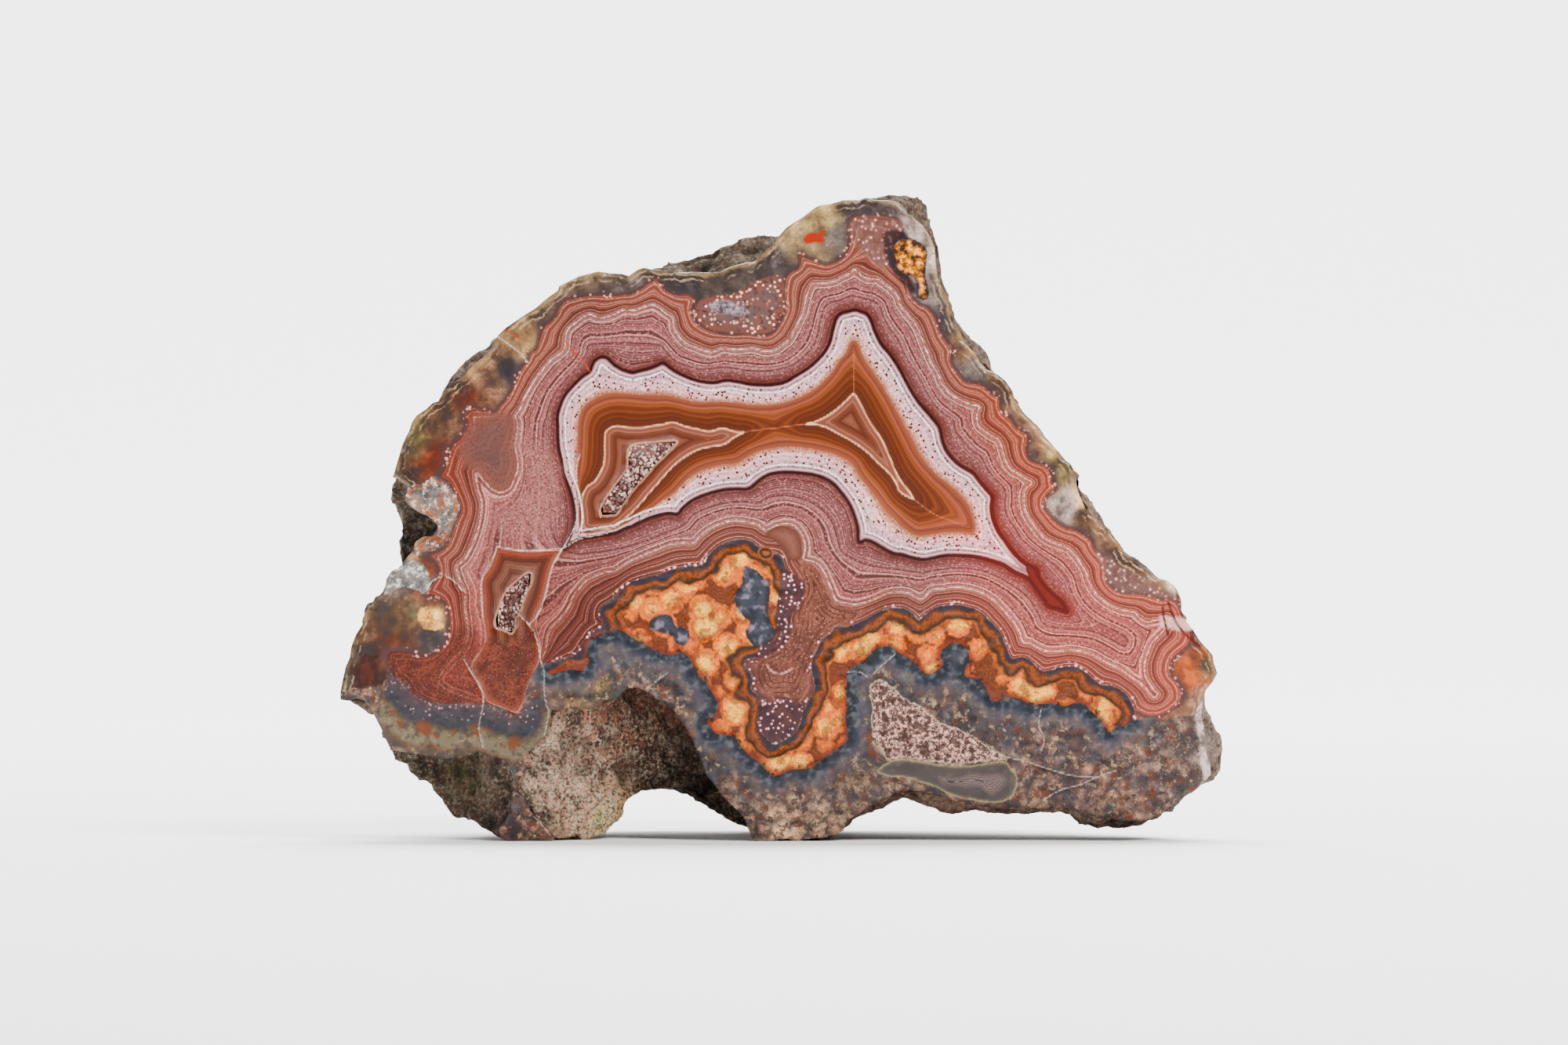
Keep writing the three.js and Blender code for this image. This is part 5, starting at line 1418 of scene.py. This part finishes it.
def rough_body(loops, material):
    """The rock behind the face, grown from the CAD solid and roughened by several sizes of noise."""
    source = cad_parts["agate"]
    piece = bpy.data.objects.new("rough_body", source.data.copy())
    bpy.context.scene.collection.objects.link(piece)
    weld = piece.modifiers.new("weld", "WELD")
    weld.merge_threshold = 1e-6
    remesh = piece.modifiers.new("remesh", "REMESH")
    remesh.mode = "VOXEL"
    remesh.voxel_size = VOXEL
    bpy.context.view_layer.update()
    grown = bpy.data.meshes.new_from_object(piece.evaluated_get(bpy.context.evaluated_depsgraph_get()))
    piece.modifiers.clear()
    piece.data = grown
    co = rows_of(grown.vertices, "co")
    normal = rows_of(grown.vertex_normals, "vector")
    back = co[:, 1] - FACE_Y
    at_face = back < 1.4 * VOXEL
    pixels = to_pixels(co)
    lines = [resampled(loop, BORDER_STEP_PX) for loop in loops]
    covered = np.zeros(len(co), bool)
    covered[at_face] = covered_by(pixels[at_face], lines)
    near = np.full(len(co), np.inf)
    near[at_face] = nearest_gap(pixels[at_face], lines)
    hidden = covered & (near > HIDDEN_PX)
    behind_face = at_face & (covered | (near < LIP_PX))

    # Grain and ridges all over, and knobs with creases between them on the rind
    coarse = fractal(co, 160, 0.9, 4)
    fine = fractal(co, 700, 0.8, 3)
    ridges = np.array([noise.ridged_multi_fractal(Vector(c) * 260, 0.9, 2.0, 3, 1.0, 2.0) for c in co])
    ridges -= RIDGE_LEVEL
    push = 0.6 * MM * coarse + 0.26 * MM * fine + 0.3 * MM * ridges - 0.3 * MM
    broad = fractal(co, 60, 0.8, 3)
    knobs = np.array([noise.voronoi(Vector(c) * 130)[0][:2] for c in co + 0.002 * coarse[:, None]])
    crease = np.clip(1 - (knobs[:, 1] - knobs[:, 0]) / 0.22, 0, 1)
    behind = rising(back, RIND_START, RIND_REACH)
    push += behind * MM * (1.3 * (broad - 0.4) - 1.1 * knobs[:, 0] ** 2 - 0.5 * crease)
    # Less of it next to the polished face
    near_face = rising(back, RELIEF_START, RELIEF_REACH)
    push = np.where(near_face < 1, push * near_face - 0.18 * MM * (1 - near_face), push)
    # The broken rock of the hollow and the notch, which is lumpier than the rind
    in_hollow = (normal[:, 1] < -0.1) | (normal[:, 2] < -0.5)
    open_rock = in_hollow & (near_face < 1)
    cleft = crease**3
    lumpy = rising(back, BODY_SETBACK, LUMP_REACH) * (0.1 - 1.0 * knobs[:, 0] ** 2 - 0.5 * cleft)
    jagged = 0.45 * coarse + 0.38 * fine + 0.42 * ridges - 0.2 + lumpy
    push = np.where(open_rock, MM * jagged, push)
    # Moved, but kept behind the slab and inside the box of the CAD solid
    moved = co + normal * push[:, None]
    moved[behind_face, 1] = FACE_Y + BODY_SETBACK
    lowest, highest = (np.array(corner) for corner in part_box("agate"))
    moved = np.clip(moved, lowest + 1e-5, highest - 1e-5)
    grown.vertices.foreach_set("co", moved.ravel().astype(np.float32))
    # What the rock's paint reads
    open_front = (normal[:, 1] < 0.1) & (back < OPEN_DEPTH)
    give_field(grown, "skin", np.where(open_front, 0.0, rising(back, 0, SKIN_REACH)))
    # Painted shade: darker in the creases and where the noise sinks the rock
    creased = np.where(open_rock, 0.6 * cleft, 0.8 * behind * crease)
    shaded = creased - (0.5 * coarse + 0.6 * fine + 0.4 * ridges)
    give_field(grown, "crevice_shade", np.clip(shaded, 0, 1))
    give_field(grown, "ground", blended(pixels, BROKEN_ROCK_AND_SHADE_PATCHES))
    from_sugar = np.hypot(pixels[:, 0] - SUGAR_PX[0], pixels[:, 1] - SUGAR_PX[1])
    sugary = np.clip(2.2 - from_sugar / SUGAR_REACH, 0.22, 1) * np.where(open_front, 1, 0.8)
    give_field(grown, "sugary", sugary)
    grown.materials.clear()
    grown.materials.append(material)
    # What the slab hides is cut away
    net = bmesh.new()
    net.from_mesh(grown)
    net.verts.ensure_lookup_table()
    gone = [f for f in net.faces if all(hidden[v.index] for v in f.verts)]
    bmesh.ops.delete(net, geom=gone, context="FACES")
    net.to_mesh(grown)
    net.free()
    grown.polygons.foreach_set("use_smooth", [True] * len(grown.polygons))
    grown.update()
    return piece


def crystal_mesh(rng, center, radius, height, lean):
    """A six-sided quartz prism with a pointed end, which looks out along -Y."""
    turn = rng.uniform(0, math.pi / 3)
    angles = turn + np.arange(6) * math.pi / 3
    wobble = 1 + 0.18 * rng.uniform(-1, 1, 6)
    ring = np.column_stack([np.cos(angles) * wobble, np.sin(angles) * wobble]) * radius
    shoulder = height * rng.uniform(0.45, 0.7)
    points = []
    for level, shrink in ((0.0, 0.92), (shoulder, 1.0)):
        points += [(x * shrink + lean[0] * level, -level, z * shrink + lean[1] * level) for x, z in ring]
    points.append((lean[0] * height, -height, lean[1] * height))
    faces = [(i, (i + 1) % 6, 6 + (i + 1) % 6, 6 + i) for i in range(6)]
    faces += [(6 + i, 6 + (i + 1) % 6, 12) for i in range(6)]
    return np.array(points) + center, faces


def druse(name, outline, pitch, material, seed):
    """A crust of quartz crystals on the floor and the walls of one pocket."""
    rng = np.random.default_rng(seed)
    line = spline(outline, steps=OUTLINE_STEPS)
    low = line.min(0)
    high = line.max(0)
    tries = rng.uniform(low, high, (6000, 2))
    depth = np.where(within(tries, line), gap_to(tries, line), -1)
    tries = tries[depth > 0.6]
    depth = depth[depth > 0.6]
    taken = []
    for i, point in enumerate(tries):
        if all((point[0] - tries[j][0]) ** 2 + (point[1] - tries[j][1]) ** 2 > pitch**2 for j in taken):
            taken.append(i)
    places, faces, bed = [], [], []
    for i in taken:
        reach = min(depth[i] / 6.0, 1.0)
        radius = rng.uniform(0.4, 0.85) * pitch * M_PER_PX
        floor_y = FACE_Y + (0.75 + 1.2 * reach) * MM
        height = rng.uniform(0.35, 1.0) * MM * (0.45 + 0.55 * reach)
        height = min(height, floor_y - FACE_Y - 0.32 * MM)
        lean = rng.normal(0, 0.3, 2)
        x, y = tries[i]
        center = np.array([(x - MIDDLE_PX) * M_PER_PX, floor_y, (BASE_PX - y) * M_PER_PX])
        points, sides = crystal_mesh(rng, center, radius, height, lean)
        start = sum(len(p) for p in places)
        places.append(points)
        faces += [tuple(start + v for v in side) for side in sides]
        bed += [0.0] * 6 + [1.0] * 7
    # The bed under the crystals, a shallow bowl
    start = sum(len(p) for p in places)
    count = len(line)
    middle = line.mean(0)
    for share, back in POCKET_RINGS:
        places.append(to_place(middle + (line - middle) * share, np.full(count, back)))
        bed += [0.0] * count
    for first in range(start, start + (len(POCKET_RINGS) - 1) * count, count):
        faces += [
            (first + i, first + (i + 1) % count, first + count + (i + 1) % count, first + count + i)
            for i in range(count)
        ]
    every = np.vstack(places)
    lowest, highest = (np.array(corner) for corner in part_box(name))
    every = np.clip(every, lowest, highest)
    piece = new_piece(name + "_crystals", every, faces, material)
    give_field(piece.data, "bed", bed)
    return piece


def area_light(name, place, target, size, power, color=(1, 1, 1)):
    data = bpy.data.lights.new(name, "AREA")
    data.shape = "RECTANGLE"
    data.size, data.size_y = size
    data.energy = power
    data.color = color
    lamp = bpy.data.objects.new(name, data)
    lamp.location = place
    lamp.rotation_euler = (Vector(target) - Vector(place)).to_track_quat("-Z", "Y").to_euler()
    bpy.context.scene.collection.objects.link(lamp)


def studio():
    """A white sweep for floor and backdrop, a large soft light from the upper right and a fill."""
    p = Paint("white_sweep")
    sweep_material = p.finish((0.92, 0.92, 0.92, 1.0), 0.9, None, Specular_IOR_Level=0.0)
    profile = [(-1.5, 0.0), (0.5, 0.0)]
    bend = np.linspace(0.1, math.pi / 2, 14)
    profile += [(0.5 + 0.5 * math.sin(a), 0.5 - 0.5 * math.cos(a)) for a in bend]
    profile += [(1.0, 2.4)]
    places = np.array([(x, y, z) for y, z in profile for x in (-2.5, 2.5)])
    faces = [(2 * i, 2 * i + 1, 2 * i + 3, 2 * i + 2) for i in range(len(profile) - 1)]
    sweep = new_piece("sweep", places, faces, sweep_material, smooth=True)
    target = (0.0, 0.0, 0.035)
    area_light("key", (0.5, -0.55, 0.65), target, (0.4, 0.35), 14.2, (1.0, 0.985, 0.96))
    area_light("fill", (-0.75, -0.8, 0.13), target, (0.5, 0.25), 4.2, (0.96, 0.98, 1.0))
    area_light("wash_light", (0.0, 0.6, 1.6), (0.0, 1.0, 0.3), (2.0, 0.8), 110.0)
    world = bpy.data.worlds.new("studio")
    world.use_nodes = True
    world.node_tree.nodes["Background"].inputs["Color"].default_value = (1, 1, 1, 1)
    world.node_tree.nodes["Background"].inputs["Strength"].default_value = 0.25
    bpy.context.scene.world = world


def camera():
    """The photograph's own view: square on to the cut face, from a metre away."""
    data = bpy.data.cameras.new("camera")
    data.sensor_width = 36.0
    data.lens = data.sensor_width * CAMERA_DISTANCE / (IMAGE_WIDTH * M_PER_PX)
    data.clip_start = 0.05
    data.clip_end = 20.0
    eye = bpy.data.objects.new("camera", data)
    x = (IMAGE_WIDTH / 2 - MIDDLE_PX) * M_PER_PX
    z = (BASE_PX - IMAGE_HEIGHT / 2) * M_PER_PX
    eye.location = Vector((x, FACE_Y, z)) + Vector((0.0, -CAMERA_DISTANCE, 0.0))
    eye.rotation_euler = (math.pi / 2, 0.0, 0.0)
    bpy.context.scene.collection.objects.link(eye)
    bpy.context.scene.camera = eye


loops = sorted(face_loops(), key=lambda loop: -np.ptp(loop[:, 0]))
face = cut_face(loops, face_paint())
body = rough_body(loops, rock_paint())
riders = [(face, "agate", "agate"), (body, "host_rock", "agate")]
for pocket, pitch, tone, seed in (("upper", 3.3, "#ac9694", SEED), ("lower", 3.0, "#a88c86", SEED + 1)):
    node = pocket + "_quartz_druse"
    quartz = quartz_paint(pocket + "_quartz", tone)
    riders.append((druse(node, REGIONS[pocket + "_pocket"], pitch, quartz, seed), "quartz", node))
for piece, slot, node in riders:
    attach(piece, "root")
    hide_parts(node)
studio()
camera()
